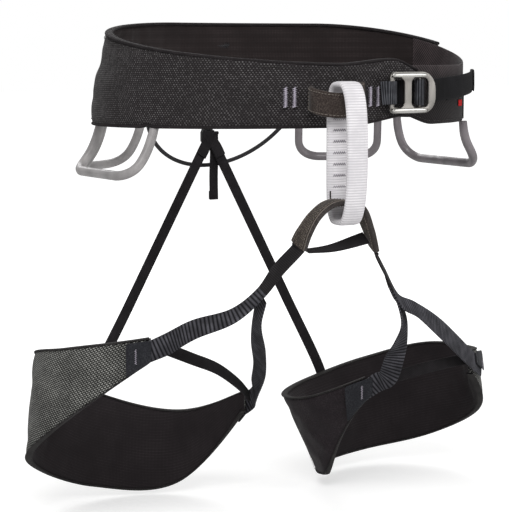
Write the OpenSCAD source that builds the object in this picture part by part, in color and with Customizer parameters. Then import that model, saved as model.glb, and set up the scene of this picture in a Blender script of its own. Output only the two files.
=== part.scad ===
/* [Waist belt] */
// Half width of the belt's outer face, side to side
belt_a = 178; // [176:1:180]
// Half depth of the belt's outer face, front to back
belt_b = 122; // [119:1:124]
// Shift of the belt's middle to the wearer's left of the leg loops' middle
belt_x = 6; // [5:1:7]
// Inward lean of the belt's top edge on the wearer's right
belt_lean = 10; // [6:1:11]
// Height of the belt's top edge at the front
belt_top_front = 23; // [22:1:26]
// Height of the belt's top edge at the back
belt_top_rear = 58; // [50:1:64]
// Height of the belt's bottom edge
belt_bottom = -27; // [-28:0.5:-26]
// Thickness of the padded belt
belt_thick = 8; // [8:0.5:9]
// Angle of the overlapping front end, from the front centre to the wearer's left
belt_end = 19.5; // [19:0.5:20]
// Angle of the padded end under the tongue, counted round the wearer's right
belt_start = -262; // [-266:1:-258]

/* [Webbing] */
// Width of the waist and leg webbing
webbing_w = 19; // [17:0.5:20]
// Thickness of the webbing
webbing_t = 1.5; // [1.2:0.1:1.7]
// Width of the risers and of the elastic straps
riser_w = 10; // [9:0.5:11]

/* [Tie-in points and belay loop] */
// Sideways place of the belay loop
belay_x = -32; // [-34:0.5:-30]
// Front-to-back place of the belay loop's middle
belay_y = -155.5; // [-156:0.5:-155]
// Height of the belay loop
belay_h = 113; // [112:0.5:114]
// Depth of the belay loop
belay_depth = 34; // [33:0.5:35]
// Width of the belay loop webbing
belay_w = 19; // [18:0.5:21]
// Thickness of the belay loop's layered webbing
belay_t = 4; // [3.5:0.1:4.2]

/* [Gear loops] */
// Diameter of the moulded gear loops
gear_d = 8; // [7:0.5:8]
// Height of a gear loop below the belt
gear_drop = 37; // [34:1:40]
// Outward lean of the gear loops on the wearer's right, in degrees
gear_lean = 36; // [30:1:40]
// Outward lean of the gear loops on the wearer's left, in degrees
gear_lean_left = 24; // [20:1:30]
// Radius of a gear loop's lower corners
gear_corner = 20; // [14:1:22]

/* [Leg loops] */
// Sideways place of the right leg loop's middle
right_leg_x = -128; // [-130:1:-126]
// Sideways place of the left leg loop's middle
left_leg_x = 110; // [108:1:112]
// Half width of the right leg loop
right_leg_rx = 98; // [96:1:99]
// Half width of the left leg loop
left_leg_rx = 92; // [90:1:93]
// Half depth of a leg loop
leg_ry = 75; // [73:1:76]
// Thickness of a leg pad
leg_thick = 6.4; // [6.4:0.2:7]

/* [Hidden] */
$fn = 48;
layer_gap = 0.3;
shell_t = 1.1;
liner_t = 0.9;
binding_h = 1.2;
tongue_t = 2;
tongue_d = -belt_thick - 0.4;
tongue_from = 2;
tongue_to = 110;
edge_gap = 0.3;

// The padded belt is four layers, outermost first, as depths below its outer face
web_top = -shell_t - 1.6 * layer_gap;
web_low = web_top - webbing_t;
foam_top = web_low - layer_gap;
liner_top = -belt_thick + liner_t;
foam_low = liner_top + layer_gap;

// Points that the straps share, with X to the wearer's left, -Y to the front and +Z up
tie_r = [-69, -142, -121];
tie_l = [2, -144, -126];
hook = [-9, 118, -42];
riser_top = [-8, 118, -55];

// A leg pad's edges at even steps from its outer front end round the back to its inner end:
// heights of the top and bottom edges, and how far each stands out from the leg loop's ellipse
right_tops = [-196, -206, -220, -263, -286, -264];
right_bottoms = [-214, -266, -312, -348, -350, -279];
right_top_out = [0, 0, 3, 0, 0, 2];
right_low_out = [0, 4, 12, 3, -3, 2];
left_tops = [-236, -241, -243, -257, -271, -276, -270, -249];
left_bottoms = [-256, -302, -333, -346, -350, -350, -336, -270];
left_top_out = [-4, 3, 3, 0, 2, 5, 5, 0];
left_low_out = [-2, 11, 9, 3, -12, -30, -27, -6];
leg_liner_top = 0.9 - leg_thick;
strap_d = 2.4;
tab_d = 5.1;
tab_t = 0.8;
right_first = 20;
right_span = 245;
left_first = 44;
left_span = 278;

// ---- Curves and sheets ----

function unit(v) = v / norm(v);
function mix(a, b, f) = a + (b - a) * f;
function ease(a, b, x) = let (f = min(max((x - a) / (b - a), 0), 1)) f * f * (3 - 2 * f);
function item(p, i) = i < 0 ? 2 * p[0] - p[1]
    : i >= len(p) ? 2 * p[len(p) - 1] - p[len(p) - 2]
    : p[i];

// Smooth curve through the points of p, with f from 0 to 1
function curve(p, f) = let (
    n = len(p) - 1,
    k = min(floor(f * n), n - 1),
    s = f * n - k,
    a = item(p, k - 1),
    b = item(p, k),
    c = item(p, k + 1),
    d = item(p, k + 2)
) b + s / 2 * (c - a + s * (2 * a - 5 * b + 4 * c - d + s * (3 * (b - c) + d - a)));

// Closed sheet between two grids of points; front lies on the side of rows x columns
module sheet(front, back) {
    rows = len(front);
    cols = len(front[0]);
    function id(i, j, k) = k * rows * cols + i * cols + j;
    function quad(a, b, c, d) = [[a, b, c], [a, c, d]];
    polyhedron(
        points = [for (g = [front, back]) for (r = g) each r],
        faces = [
            for (i = [0:rows - 2], j = [0:cols - 2]) each concat(
                quad(id(i, j, 0), id(i, j + 1, 0), id(i + 1, j + 1, 0), id(i + 1, j, 0)),
                quad(id(i, j, 1), id(i + 1, j, 1), id(i + 1, j + 1, 1), id(i, j + 1, 1))),
            for (i = [0:rows - 2]) each concat(
                quad(id(i, 0, 0), id(i + 1, 0, 0), id(i + 1, 0, 1), id(i, 0, 1)),
                quad(id(i + 1, cols - 1, 0), id(i, cols - 1, 0),
                    id(i, cols - 1, 1), id(i + 1, cols - 1, 1))),
            for (j = [0:cols - 2]) each concat(
                quad(id(0, j + 1, 0), id(0, j, 0), id(0, j, 1), id(0, j + 1, 1)),
                quad(id(rows - 1, j, 0), id(rows - 1, j + 1, 0),
                    id(rows - 1, j + 1, 1), id(rows - 1, j, 1)))
        ]);
}

// Flat strap along the points of path, lying across the directions in wide. The path takes
// steps rows; cut leaves out that many rows at each end.
module ribbon(path, wide, width, thick, steps = 16, cut = 0) {
    function at(f) = curve(path, f);
    function along(f) = unit(at(min(f + 0.01, 1)) - at(max(f - 0.01, 0)));
    function side(f) = let (t = along(f), w = curve(wide, f)) unit(w - t * (w * t));
    function face(f) = cross(along(f), side(f));
    function row(f, n) = [for (e = [-0.5, 0.5]) at(f) + side(f) * e * width + face(f) * n];
    sheet([for (i = [cut:steps - cut]) row(i / steps, thick / 2)],
        [for (i = [cut:steps - cut]) row(i / steps, -thick / 2)]);
}

// ---- Waist belt ----

function belt_normal(t) = unit([belt_b * sin(t), -belt_a * cos(t)]);
function belt_xy(t, d) = [belt_x + belt_a * sin(t), -belt_b * cos(t)] + d * belt_normal(t);
function lean_in(t) = belt_lean * ease(30, 80, -t) * ease(-248, -200, t);
function belt_point(t, z, d) = let (
    p = belt_xy(t, d - lean_in(t) * (z - belt_bottom) / (belt_top_rear - belt_bottom))
) [p[0], p[1], z];
function belt_heading(t) = atan2(belt_b * sin(t), belt_a * cos(t));

// The top edge climbs from the front to the back, later on the wearer's left than on the right
function belt_top(t) = mix(belt_top_front, belt_top_rear,
    t < -180 ? ease(45, 150, t + 360) : t > 0 ? ease(45, 150, t) : ease(0, 160, -t));
function main_top(t) = belt_top(t) + 4 * ease(-8, 9, t) - 9 * ease(10, 21, t);
function main_low(t) = belt_bottom + 10 * ease(-8, 21, t);

// Band of the padded belt from angle a to b, between depths d_out and d_in
module belt_band(a, b, d_out, d_in, top, low, steps = 60) {
    function rows(d) = [for (i = [0:steps]) let (t = mix(a, b, i / steps))
        [belt_point(t, low(t), d), belt_point(t, top(t), d)]];
    sheet(rows(d_out), rows(d_in));
}

module belt_outer_shell() {
    color([0.16, 0.16, 0.17])
        belt_band(belt_start, belt_end, 0, -shell_t, function(t) main_top(t), function(t) main_low(t));
}

module belt_load_webbing() {
    color([0.10, 0.10, 0.11])
        belt_band(belt_start, belt_end, web_top, web_low,
            function(t) webbing_w * 0.7, function(t) -webbing_w * 0.7);
}

module belt_foam_core() {
    color([0.22, 0.22, 0.23])
        belt_band(belt_start, belt_end, foam_top, foam_low,
            function(t) main_top(t) - 1, function(t) main_low(t) + 1);
}

module belt_inner_liner() {
    color([0.09, 0.08, 0.08])
        belt_band(belt_start, belt_end, liner_top, -belt_thick,
            function(t) main_top(t), function(t) main_low(t));
}

module belt_edge_binding() {
    color([0.12, 0.12, 0.12]) {
        belt_band(belt_start, belt_end, 0, -belt_thick,
            function(t) main_top(t) + layer_gap + binding_h, function(t) main_top(t) + layer_gap);
        belt_band(belt_start, belt_end, 0, -belt_thick,
            function(t) main_low(t) - layer_gap, function(t) main_low(t) - layer_gap - binding_h);
    }
}

module belt_tongue() {
    color([0.10, 0.09, 0.10])
        belt_band(tongue_from, tongue_to, tongue_d, tongue_d - tongue_t,
            function(t) belt_top(t) - 1 - 6 * (1 - ease(4, 20, t)),
            function(t) belt_bottom - 1 + 14 * (1 - ease(8, 30, t)), 30);
}

module side_tag() {
    color([0.85, 0.05, 0.06])
        belt_band(49.2, 54.8, tongue_d + 0.7, tongue_d + 0.1, function(t) -8.5, function(t) -14, 4);
}

// Zigzag stitch bars that hold the load webbing
module waist_bar_tacks() {
    color([0.72, 0.68, 0.76])
        for (t = [-22.8, -20.3, 1.9, 4.3])
            translate(belt_point(t, -3, 0.1)) rotate([0, 0, belt_heading(t)])
                translate([-2, -0.6, -9]) cube([4, 0.6, 18]);
}

// ---- Buckle and waist strap ----

buckle_t = 13.2;
buckle_heading = 8;
buckle_gap = 9;
buckle_xy = belt_xy(buckle_t, buckle_gap);
buckle_half_h = 17;
window_half_h = 12;
bar_u = 9;

// Buckle frame of reference: X along the belt, -Y away from the wearer
module at_buckle() {
    translate([buckle_xy[0], buckle_xy[1], 0]) rotate([0, 0, buckle_heading]) children();
}

function buckle_point(u, w, z) = [
    buckle_xy[0] + u * cos(buckle_heading) + w * sin(buckle_heading),
    buckle_xy[1] + u * sin(buckle_heading) - w * cos(buckle_heading),
    z
];

module buckle_back_frame() {
    corner = 14;
    color([0.72, 0.72, 0.70])
        at_buckle() {
            rotate([90, 0, 0]) linear_extrude(3, center = true)
                difference() {
                    union() {
                        translate([-24, -buckle_half_h]) square([37, 2 * buckle_half_h]);
                        translate([13, -3]) square([corner, 6]);
                        for (s = [-1, 1])
                            translate([13, s * 3]) circle(corner);
                    }
                    translate([-20.5, -window_half_h]) square([39.5, 2 * window_half_h]);
                }
            for (u = [-20, bar_u])
                translate([u, 0, 0]) cylinder(h = 2 * window_half_h + 2, r = 1.8, center = true);
        }
}

module buckle_front_frame() {
    color([0.86, 0.86, 0.84])
        at_buckle() translate([0, -4, 0]) {
            for (s = [-1, 1]) {
                translate([-22, 0, s * 14.3]) rotate([0, 90, 0]) cylinder(h = 34, r = 2.2);
                translate([-22, 0, s * 14.3]) sphere(2.2);
                translate([12, 0, s * 14.3]) sphere(2.2);
            }
            translate([-11.4, -1.2, -14.3]) cube([7.8, 2.4, 28.6]);
        }
}

// Webbing from the belt, over the buckle's left bar and back
module buckle_anchor_webbing() {
    up = [0, 0, 1];
    color([0.13, 0.13, 0.15])
        ribbon([
            belt_point(3, -1, 1.8), buckle_point(-27.5, 0.4, 0), buckle_point(-24, 3, 0),
            buckle_point(-20, 3.1, 0), buckle_point(-16.9, 0, 0), buckle_point(-20, -3.1, 0),
            buckle_point(-26, -3.4, 0)
        ], [up, up, up, up, up, up, up], webbing_w, 1.2, 30);
}

// The strap lies on an arc that slides on itself; its axis leans so that the strap climbs
strap_axis_xy = [2.5, 74.7];
strap_r = 206;
strap_from = -70.5;
strap_to = -33;
strap_climb = 3;
strap_lean_dir = [sin(38), -cos(38), 0];
strap_z = 4.5;

module strap_arc(from, to, r) {
    translate([strap_axis_xy[0], strap_axis_xy[1], strap_z])
        rotate(a = strap_climb, v = strap_lean_dir)
            rotate([0, 0, from]) rotate_extrude(angle = to - from)
                translate([r, -webbing_w / 2]) square([webbing_t, webbing_w]);
}

module waist_strap() {
    up = [0, 0, 1];
    color([0.09, 0.09, 0.10]) {
        strap_arc(-60, strap_to, strap_r - 4.5);
        ribbon([
            buckle_point(19, -4.6, 0), buckle_point(12.5, -3.9, 0), buckle_point(7.3, -2.5, 0),
            buckle_point(6, 0.3, 0), buckle_point(8, 2.9, 0), buckle_point(11, 2.6, 0),
            buckle_point(12.9, 1.2, 0)
        ], [up, up, up, up, up, up, up], webbing_w, 1.1, 30);
    }
}

module waist_strap_tail() {
    color([0.08, 0.08, 0.09])
        strap_arc(strap_from, strap_to, strap_r);
}

// ---- Tie-in points and belay loop ----

up_wide = [0, 0, 1];
tie_path = [
    belt_point(-16, -3, 2.2), [-51, -135, -5], [-47.5, -147.8, -7.5], [-40, -151.9, -8.5],
    [belay_x, -152.4, -8.5], [-24, -151.9, -8], [-16.5, -148.2, -6], [-12, -137, -2],
    belt_point(0, 0, 2.2)
];
tie_wide = [for (p = tie_path) up_wide];

module upper_tie_in_loop() {
    color([0.13, 0.12, 0.12])
        ribbon(tie_path, tie_wide, webbing_w - 1, 1.6, 32);
}

module upper_tie_in_sleeve() {
    color([0.22, 0.19, 0.17])
        difference() {
            ribbon(tie_path, tie_wide, webbing_w + 1, 3.6, 32, 2);
            ribbon(tie_path, tie_wide, webbing_w - 0.4, 2.1, 32);
        }
}

module belay_profile(r) {
    straight = belay_h - belay_depth;
    square([2 * r, straight], center = true);
    for (s = [-1, 1])
        translate([0, s * straight / 2]) circle(r);
}

belay_z = 10 - belay_h / 2;

module belay_loop() {
    color([0.90, 0.89, 0.91])
        translate([belay_x, belay_y, belay_z])
            rotate([90, 0, 90]) linear_extrude(belay_w, center = true)
                difference() {
                    belay_profile(belay_depth / 2);
                    belay_profile(belay_depth / 2 - belay_t);
                }
}

// Stitch bars on the loop's rear strand
module belay_loop_stitching() {
    color([0.45, 0.44, 0.47])
        for (k = [0:6])
            translate([belay_x, belay_y + belay_depth / 2 + 0.1, belay_z + 27 - 9 * k])
                translate([-7, 0, -1]) cube([14, 0.7, 2]);
}

low_path = [
    tie_r, [-67, -149, -108], [-60, -153, -95], [-48, -155, -86],
    [belay_x - 1, -155.5, -85.5], [-20, -155, -90.5], [-9, -151, -107], tie_l
];
low_wide = [
    [-0.3, 0.9, 0.3], [-0.1, 1, 0.1], [0, 1, 0], [0, 1, 0],
    [0, 1, 0], [0, 1, 0], [0.1, 1, 0.1], [0.2, 0.9, 0.3]
];

module lower_tie_in_loop() {
    color([0.14, 0.13, 0.13])
        ribbon(low_path, low_wide, 13.6, 2.1, 28);
}

module lower_tie_in_sleeve() {
    color([0.24, 0.21, 0.18])
        difference() {
            ribbon(low_path, low_wide, 15.4, 4.3, 28, 1);
            ribbon(low_path, low_wide, 14.1, 2.6, 28);
        }
}

module leg_cross_strap() {
    color([0.10, 0.10, 0.11])
        ribbon([[-60, -143.5, -123], [-38, -145, -122], [-9.5, -146, -116]],
            [[0.1, 1, 0.2], [0.1, 1, 0.5], [0, 0.9, 0.9]], 12, 1.5, 10);
}

// ---- Gear loops and haul loop ----

loop_axis_z = belt_bottom - layer_gap - binding_h - edge_gap - gear_d / 2;
loop_inset = -belt_thick / 2;

function loop_span(a, b) = norm(belt_xy(b, loop_inset) - belt_xy(a, loop_inset));
function loop_angle(a, b) = let (v = belt_xy(b, loop_inset) - belt_xy(a, loop_inset)) atan2(v[1], v[0]);

// Places a loop that hangs from the belt's lower edge between angles a and b
module hang(a, b, lean, z) {
    p = (belt_xy(a, loop_inset) + belt_xy(b, loop_inset)) / 2;
    translate([p[0], p[1], z]) rotate([0, 0, loop_angle(a, b)]) rotate([-lean, 0, 0]) children();
}

// A loop's line in its own plane is a list of [x, z, turn], where turn - 90 is the way it runs
function loop_arc(x, z, r, from, to, steps) =
    [for (k = [0:steps]) let (a = mix(from, to, k / steps)) [x + r * cos(a), z + r * sin(a), a]];
function loop_way(a) = [-sin(a), cos(a)];
function loop_cap(end, r, s) = [for (q = s < 0 ? [80, 50, 25] : [25, 50, 80])
    let (way = loop_way(end[2]) * s * r * sin(q)) [end[0] + way[0], end[1] + way[1], end[2], r * cos(q)]];

// Round bar of radius r with rounded ends along a loop's line
module loop_bar(line, r, sides = 12) {
    rows = concat(loop_cap(line[0], r, -1), [for (e = line) [e[0], e[1], e[2], r]],
        loop_cap(line[len(line) - 1], r, 1));
    n = len(rows);
    polyhedron(
        points = [for (e = rows, k = [0:sides - 1]) let (a = 360 * k / sides, out = e[3] * sin(a))
            [e[0] - out * cos(e[2]), e[3] * cos(a), e[1] - out * sin(e[2])]],
        faces = concat(
            [[for (k = [0:sides - 1]) k]],
            [for (i = [0:n - 2], k = [0:sides - 1])
                let (a = i * sides + k, b = i * sides + (k + 1) % sides)
                each [[a, a + sides, b + sides], [a, b + sides, b]]],
            [[for (k = [sides - 1:-1:0]) (n - 1) * sides + k]]));
}

module gear_loop(a, b, lean) {
    r = gear_d / 2;
    half = loop_span(a, b) / 2;
    leg = gear_drop / cos(lean) - r - gear_corner;
    color([0.42, 0.40, 0.42])
        hang(a, b, lean, loop_axis_z)
            loop_bar(concat([[-half, 0, 180]],
                loop_arc(gear_corner - half, -leg, gear_corner, 180, 270, 6),
                loop_arc(half - gear_corner, -leg, gear_corner, 270, 360, 6), [[half, 0, 360]]), r);
}

module gear_loop_right_front() { gear_loop(-117, -64, gear_lean); }
module gear_loop_right_rear() { gear_loop(-148, -121.5, gear_lean); }
module gear_loop_left_front() { gear_loop(57, 118, gear_lean_left); }
module gear_loop_left_rear() { gear_loop(126, 154, gear_lean_left); }

// Cord that sags in an arc behind the wearer
haul_r = 1.9;
haul_sag = 49;
haul_lean = 32;
haul_from = 158;
haul_to = 208.5;

module haul_loop() {
    half = loop_span(haul_from, haul_to) / 2;
    big = (half * half + haul_sag * haul_sag) / (2 * haul_sag);
    open = asin(half / big);
    color([0.10, 0.10, 0.11])
        hang(haul_from, haul_to, haul_lean, loop_axis_z + 2)
            loop_bar(loop_arc(0, big - haul_sag, big, 270 - open, 270 + open, 20), haul_r, 8);
}

// ---- Riser attachment at the back ----

module riser_cord_loop() {
    color([0.12, 0.12, 0.12])
        translate([hook[0], hook[1], -34.4]) rotate([0, 90, 0])
            rotate_extrude() translate([4.4, 0]) circle(1.1);
}

module riser_hook() {
    color([0.07, 0.07, 0.08])
        translate([hook[0], hook[1], 0]) rotate([90, 0, 0]) linear_extrude(3.4, center = true)
            difference() {
                union() {
                    translate([-6.5, -50]) square([13, 9]);
                    translate([0, -40]) circle(4.6);
                    translate([-4.6, -44]) square([9.2, 4]);
                }
                translate([0, -38.8]) circle(1.9);
                translate([-4.5, -48]) square([9, 3.6]);
            }
}

module riser_pull_tab() {
    color([0.09, 0.09, 0.10])
        translate([hook[0] + 9, hook[1] + 3.6, -42]) {
            rotate([0, 90, 0]) cylinder(h = 9, r = 1.6, center = true);
            translate([-4.5, -0.8, -62]) cube([9, 1.6, 62]);
        }
}

// ---- Leg loops ----

function is_left(side) = side > 0;
function leg_first(side) = is_left(side) ? left_first : right_first;
function leg_span(side) = is_left(side) ? left_span : right_span;

// Point of a leg pad: f from the outer front end to the inner end, v up, d out of the pad
function pad_point(side, f, v, d) = let (
    t = side * (leg_first(side) + f * leg_span(side)),
    low = curve(is_left(side) ? left_bottoms : right_bottoms, f),
    top = curve(is_left(side) ? left_tops : right_tops, f),
    out = mix(curve(is_left(side) ? left_low_out : right_low_out, f),
        curve(is_left(side) ? left_top_out : right_top_out, f), v),
    rx = is_left(side) ? left_leg_rx : right_leg_rx,
    mid = is_left(side) ? left_leg_x : right_leg_x,
    n = unit([leg_ry * sin(t), -rx * cos(t)]),
    p = [mid + rx * sin(t), 2 - leg_ry * cos(t)] + (d + out) * n
) [p[0], p[1], mix(low, top, v)];

// Way up the pad's face, which a strap on the pad lies across
function pad_across(side, f) = unit(pad_point(side, f, 1, 0) - pad_point(side, f, 0, 0));

// Layer of a leg pad; its rows run the same way round on both legs
module pad_layer(side, d_out, d_in, f0, f1, v0, v1, rows = 36, cols = 2) {
    function grid(d) = [for (i = [0:rows]) let (s = i / rows, f = mix(f0, f1, is_left(side) ? s : 1 - s))
        [for (j = [0:cols]) pad_point(side, f, mix(v0, v1, j / cols), d)]];
    sheet(grid(d_out), grid(d_in));
}

module leg_outer_shell(side) {
    color([0.33, 0.33, 0.33]) pad_layer(side, 0, -1, 0, 1, 0.03, 0.97);
}

module leg_foam(side) {
    color([0.25, 0.25, 0.26]) pad_layer(side, -1 - layer_gap, leg_liner_top + layer_gap, 0, 1, 0.045, 0.955);
}

module leg_liner(side) {
    color([0.08, 0.07, 0.07]) pad_layer(side, leg_liner_top, -leg_thick, 0, 1, 0.03, 0.97);
}

module leg_binding(side) {
    color([0.16, 0.16, 0.16]) {
        pad_layer(side, 0, -leg_thick, 0, 1, -0.01, 0.015, 36, 1);
        pad_layer(side, 0, -leg_thick, 0, 1, 0.985, 1.01, 36, 1);
    }
}

// Leather-like tabs that cover the strap ends on the pad
module leg_end_tabs(side) {
    color([0.12, 0.12, 0.13]) {
        pad_layer(side, tab_d, tab_d - tab_t, 0.003, 0.052, 0.02, 0.98, 4, 1);
        pad_layer(side, tab_d, tab_d - tab_t, 0.955, 0.99, 0.02, 0.98, 4, 1);
    }
}

// Webbing from the lower tie-in to the outer front end of the pad
right_front_path = [
    tie_r + [-1.5, 0.6, -2.2], [-83.5, -136, -138], [-96, -129, -157], [-116, -120, -174.5],
    [-141, -101, -186], pad_point(-1, -0.02, 0.5, 4.2), pad_point(-1, 0.045, 0.5, strap_d)
];
right_front_wide = [
    [0.04, 0.95, 0.32], [0.04, 0.95, 0.32], [0.16, 0.95, 0.27], [0.19, 0.83, 0.51],
    [0.07, 0.58, 0.81], pad_across(-1, 0), pad_across(-1, 0.045)
];
left_front_path = [
    tie_l + [1.4, 0.8, -2.2], [20, -135, -148], [40, -126, -172], [64, -117, -183],
    [104, -96, -205], pad_point(1, -0.02, 0.5, 3.4), pad_point(1, 0.045, 0.5, strap_d)
];
left_front_wide = [
    [0.13, 0.86, 0.49], [0.13, 0.86, 0.49], [0.13, 0.86, 0.49], [0.2, 0.6, 0.8],
    [0.25, 0.3, 0.89], pad_across(1, 0), pad_across(1, 0.045)
];

module leg_front_strap(side) {
    color([0.17, 0.17, 0.19])
        ribbon(is_left(side) ? left_front_path : right_front_path,
            is_left(side) ? left_front_wide : right_front_wide, webbing_w - 2, webbing_t, 24);
}

// Webbing from the fork down to the inner end of the pad
right_inner_path = [
    [-92, -126, -160], [-89, -113, -180], [-72, -85, -207], [-46, -42, -235],
    [-33.5, -13, -256], pad_point(-1, 1.01, 0.5, 2.9), pad_point(-1, 0.965, 0.5, strap_d)
];
right_inner_wide = [
    [0.1, 0.86, 0.5], [0.05, 0.75, 0.6], [-0.4, 0.69, 0.58], [-0.3, 0.65, 0.68],
    [-0.1, 0.45, 0.88], pad_across(-1, 1), pad_across(-1, 0.965)
];
left_inner_path = [
    [41, -122, -177], [50, -117, -190], [56, -105, -208], [61, -88, -229],
    [63, -75, -247], pad_point(1, 1.02, 0.5, 3.2), pad_point(1, 0.965, 0.5, strap_d)
];
left_inner_wide = [
    [0.13, 0.86, 0.49], [0.68, 0.48, 0.55], [0.88, 0.12, 0.43], [0.9, -0.38, -0.16],
    [0.64, -0.6, -0.48], -pad_across(1, 1), -pad_across(1, 0.965)
];

module leg_inner_strap(side) {
    color([0.17, 0.17, 0.19])
        ribbon(is_left(side) ? left_inner_path : right_inner_path,
            is_left(side) ? left_inner_wide : right_inner_wide, webbing_w - 2, webbing_t, 20);
}

// Elastic between the pad's two ends
right_elastic_path = [
    pad_point(-1, -0.015, 0.5, -3), [-122, -62, -216.5], [-90, -48, -230], [-58, -26, -249],
    pad_point(-1, 1.02, 0.5, -3)
];
left_elastic_path = [pad_point(1, -0.015, 0.5, -3), [115, -64, -244], pad_point(1, 1.02, 0.5, -3)];

module leg_elastic(side) {
    wide = [[0, 0, 1], [0, 0.1, 1], [0, 0.2, 1]];
    color([0.11, 0.11, 0.12])
        ribbon(is_left(side) ? left_elastic_path : right_elastic_path, wide, riser_w, 1.3, 10);
}

module leg_bar_tacks(side) {
    path = is_left(side) ? left_front_path : right_front_path;
    wide = is_left(side) ? left_front_wide : right_front_wide;
    color([0.75, 0.72, 0.78])
        for (f = [0.27, 0.36]) {
            along = unit(curve(path, f + 0.02) - curve(path, f - 0.02));
            w = curve(wide, f);
            across = unit(w - along * (w * along));
            out = cross(along, across) * (is_left(side) ? -1 : 1);
            c = curve(path, f) + out * (webbing_t / 2 + 0.4);
            ribbon([c - along * 1.2, c + along * 1.2], [across, across], 10, 0.5, 1);
        }
}

// Elastic riser from the hook to the back of the pad
module riser(side) {
    f = is_left(side) ? 0.532 : 0.606;
    top = riser_top + [side * 6 + 2, 0, 0];
    mid = pad_point(side, f, 1.05, 3);
    low = pad_point(side, f, 0.8, 2);
    wide = [0.84, 0, side * 0.53];
    color([0.10, 0.10, 0.11])
        ribbon([top, mix(top, mid, 0.33), mix(top, mid, 0.67), mid, low],
            [wide, wide, wide, wide, [0.9, 0.2, side * 0.3]], riser_w, 1.3, 16);
}

module right_leg_outer_shell() { leg_outer_shell(-1); }
module right_leg_foam() { leg_foam(-1); }
module right_leg_liner() { leg_liner(-1); }
module right_leg_binding() { leg_binding(-1); }
module right_leg_front_strap() { leg_front_strap(-1); }
module right_leg_inner_strap() { leg_inner_strap(-1); }
module right_leg_elastic() { leg_elastic(-1); }
module right_leg_end_tabs() { leg_end_tabs(-1); }
module right_leg_bar_tacks() { leg_bar_tacks(-1); }
module right_riser() { riser(-1); }
module left_leg_outer_shell() { leg_outer_shell(1); }
module left_leg_foam() { leg_foam(1); }
module left_leg_liner() { leg_liner(1); }
module left_leg_binding() { leg_binding(1); }
module left_leg_front_strap() { leg_front_strap(1); }
module left_leg_inner_strap() { leg_inner_strap(1); }
module left_leg_elastic() { leg_elastic(1); }
module left_leg_end_tabs() { leg_end_tabs(1); }
module left_leg_bar_tacks() { leg_bar_tacks(1); }
module left_riser() { riser(1); }

belt_outer_shell();
belt_load_webbing();
belt_foam_core();
belt_inner_liner();
belt_edge_binding();
belt_tongue();
side_tag();
waist_bar_tacks();
waist_strap();
waist_strap_tail();
buckle_anchor_webbing();
buckle_back_frame();
buckle_front_frame();
upper_tie_in_loop();
upper_tie_in_sleeve();
belay_loop();
belay_loop_stitching();
lower_tie_in_loop();
lower_tie_in_sleeve();
leg_cross_strap();
gear_loop_right_front();
gear_loop_right_rear();
gear_loop_left_front();
gear_loop_left_rear();
haul_loop();
riser_hook();
riser_cord_loop();
riser_pull_tab();
right_leg_outer_shell();
right_leg_foam();
right_leg_liner();
right_leg_binding();
right_leg_front_strap();
right_leg_inner_strap();
right_leg_elastic();
right_leg_end_tabs();
right_leg_bar_tacks();
right_riser();
left_leg_outer_shell();
left_leg_foam();
left_leg_liner();
left_leg_binding();
left_leg_front_strap();
left_leg_inner_strap();
left_leg_elastic();
left_leg_end_tabs();
left_leg_bar_tacks();
left_riser();
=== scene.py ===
from math import acos, asin, atan2, copysign, cos, degrees, exp, floor, pi, radians, sin, sqrt, tan

import bpy
import numpy as np
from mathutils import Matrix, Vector, noise


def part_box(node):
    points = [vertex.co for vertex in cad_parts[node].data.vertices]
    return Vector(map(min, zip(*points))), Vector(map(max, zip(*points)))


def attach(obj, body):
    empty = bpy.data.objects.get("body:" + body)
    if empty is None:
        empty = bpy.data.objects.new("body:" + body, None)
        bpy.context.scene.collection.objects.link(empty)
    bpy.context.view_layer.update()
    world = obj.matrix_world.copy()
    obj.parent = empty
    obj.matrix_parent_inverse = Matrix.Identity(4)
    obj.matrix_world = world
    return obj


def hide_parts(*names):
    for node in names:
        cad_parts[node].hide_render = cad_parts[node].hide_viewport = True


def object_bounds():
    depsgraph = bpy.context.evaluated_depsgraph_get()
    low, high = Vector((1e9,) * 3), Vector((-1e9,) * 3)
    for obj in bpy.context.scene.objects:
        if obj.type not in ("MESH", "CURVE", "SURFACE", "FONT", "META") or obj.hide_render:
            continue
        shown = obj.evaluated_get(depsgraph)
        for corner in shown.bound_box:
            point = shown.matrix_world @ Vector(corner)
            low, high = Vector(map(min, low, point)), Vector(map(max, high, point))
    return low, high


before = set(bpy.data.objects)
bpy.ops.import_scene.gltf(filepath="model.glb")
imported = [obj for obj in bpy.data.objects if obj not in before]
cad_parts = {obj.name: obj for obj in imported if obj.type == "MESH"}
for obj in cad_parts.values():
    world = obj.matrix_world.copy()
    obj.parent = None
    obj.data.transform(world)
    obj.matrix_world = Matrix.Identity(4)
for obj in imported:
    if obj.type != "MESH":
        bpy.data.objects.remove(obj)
cad_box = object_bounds()

# Lengths are millimetres in the part's frame until mesh() turns them into metres.
MM = 0.001

# ---- Driving dimensions, the same as the CAD part's ----
BELT_A = 178
BELT_B = 122
BELT_X = 6
BELT_LEAN = 10
BELT_TOP_FRONT = 23
BELT_TOP_REAR = 58
BELT_BOTTOM = -27
BELT_THICK = 8
BELT_START = -262
BELT_END = 19.5
BELT_ROUND = 152  # mean radius, for the run of the weave
WEB_W = 19
WEB_T = 1.5
RISER_W = 10
BELAY_X = -32
TIE_R = np.array([-69, -142, -121])
TIE_L = np.array([2, -144, -126])
HOOK = np.array([-9, 118, -42])
RISER_TOP = np.array([-8, 118, -55])
UP = np.array([0, 0, 1])

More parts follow.
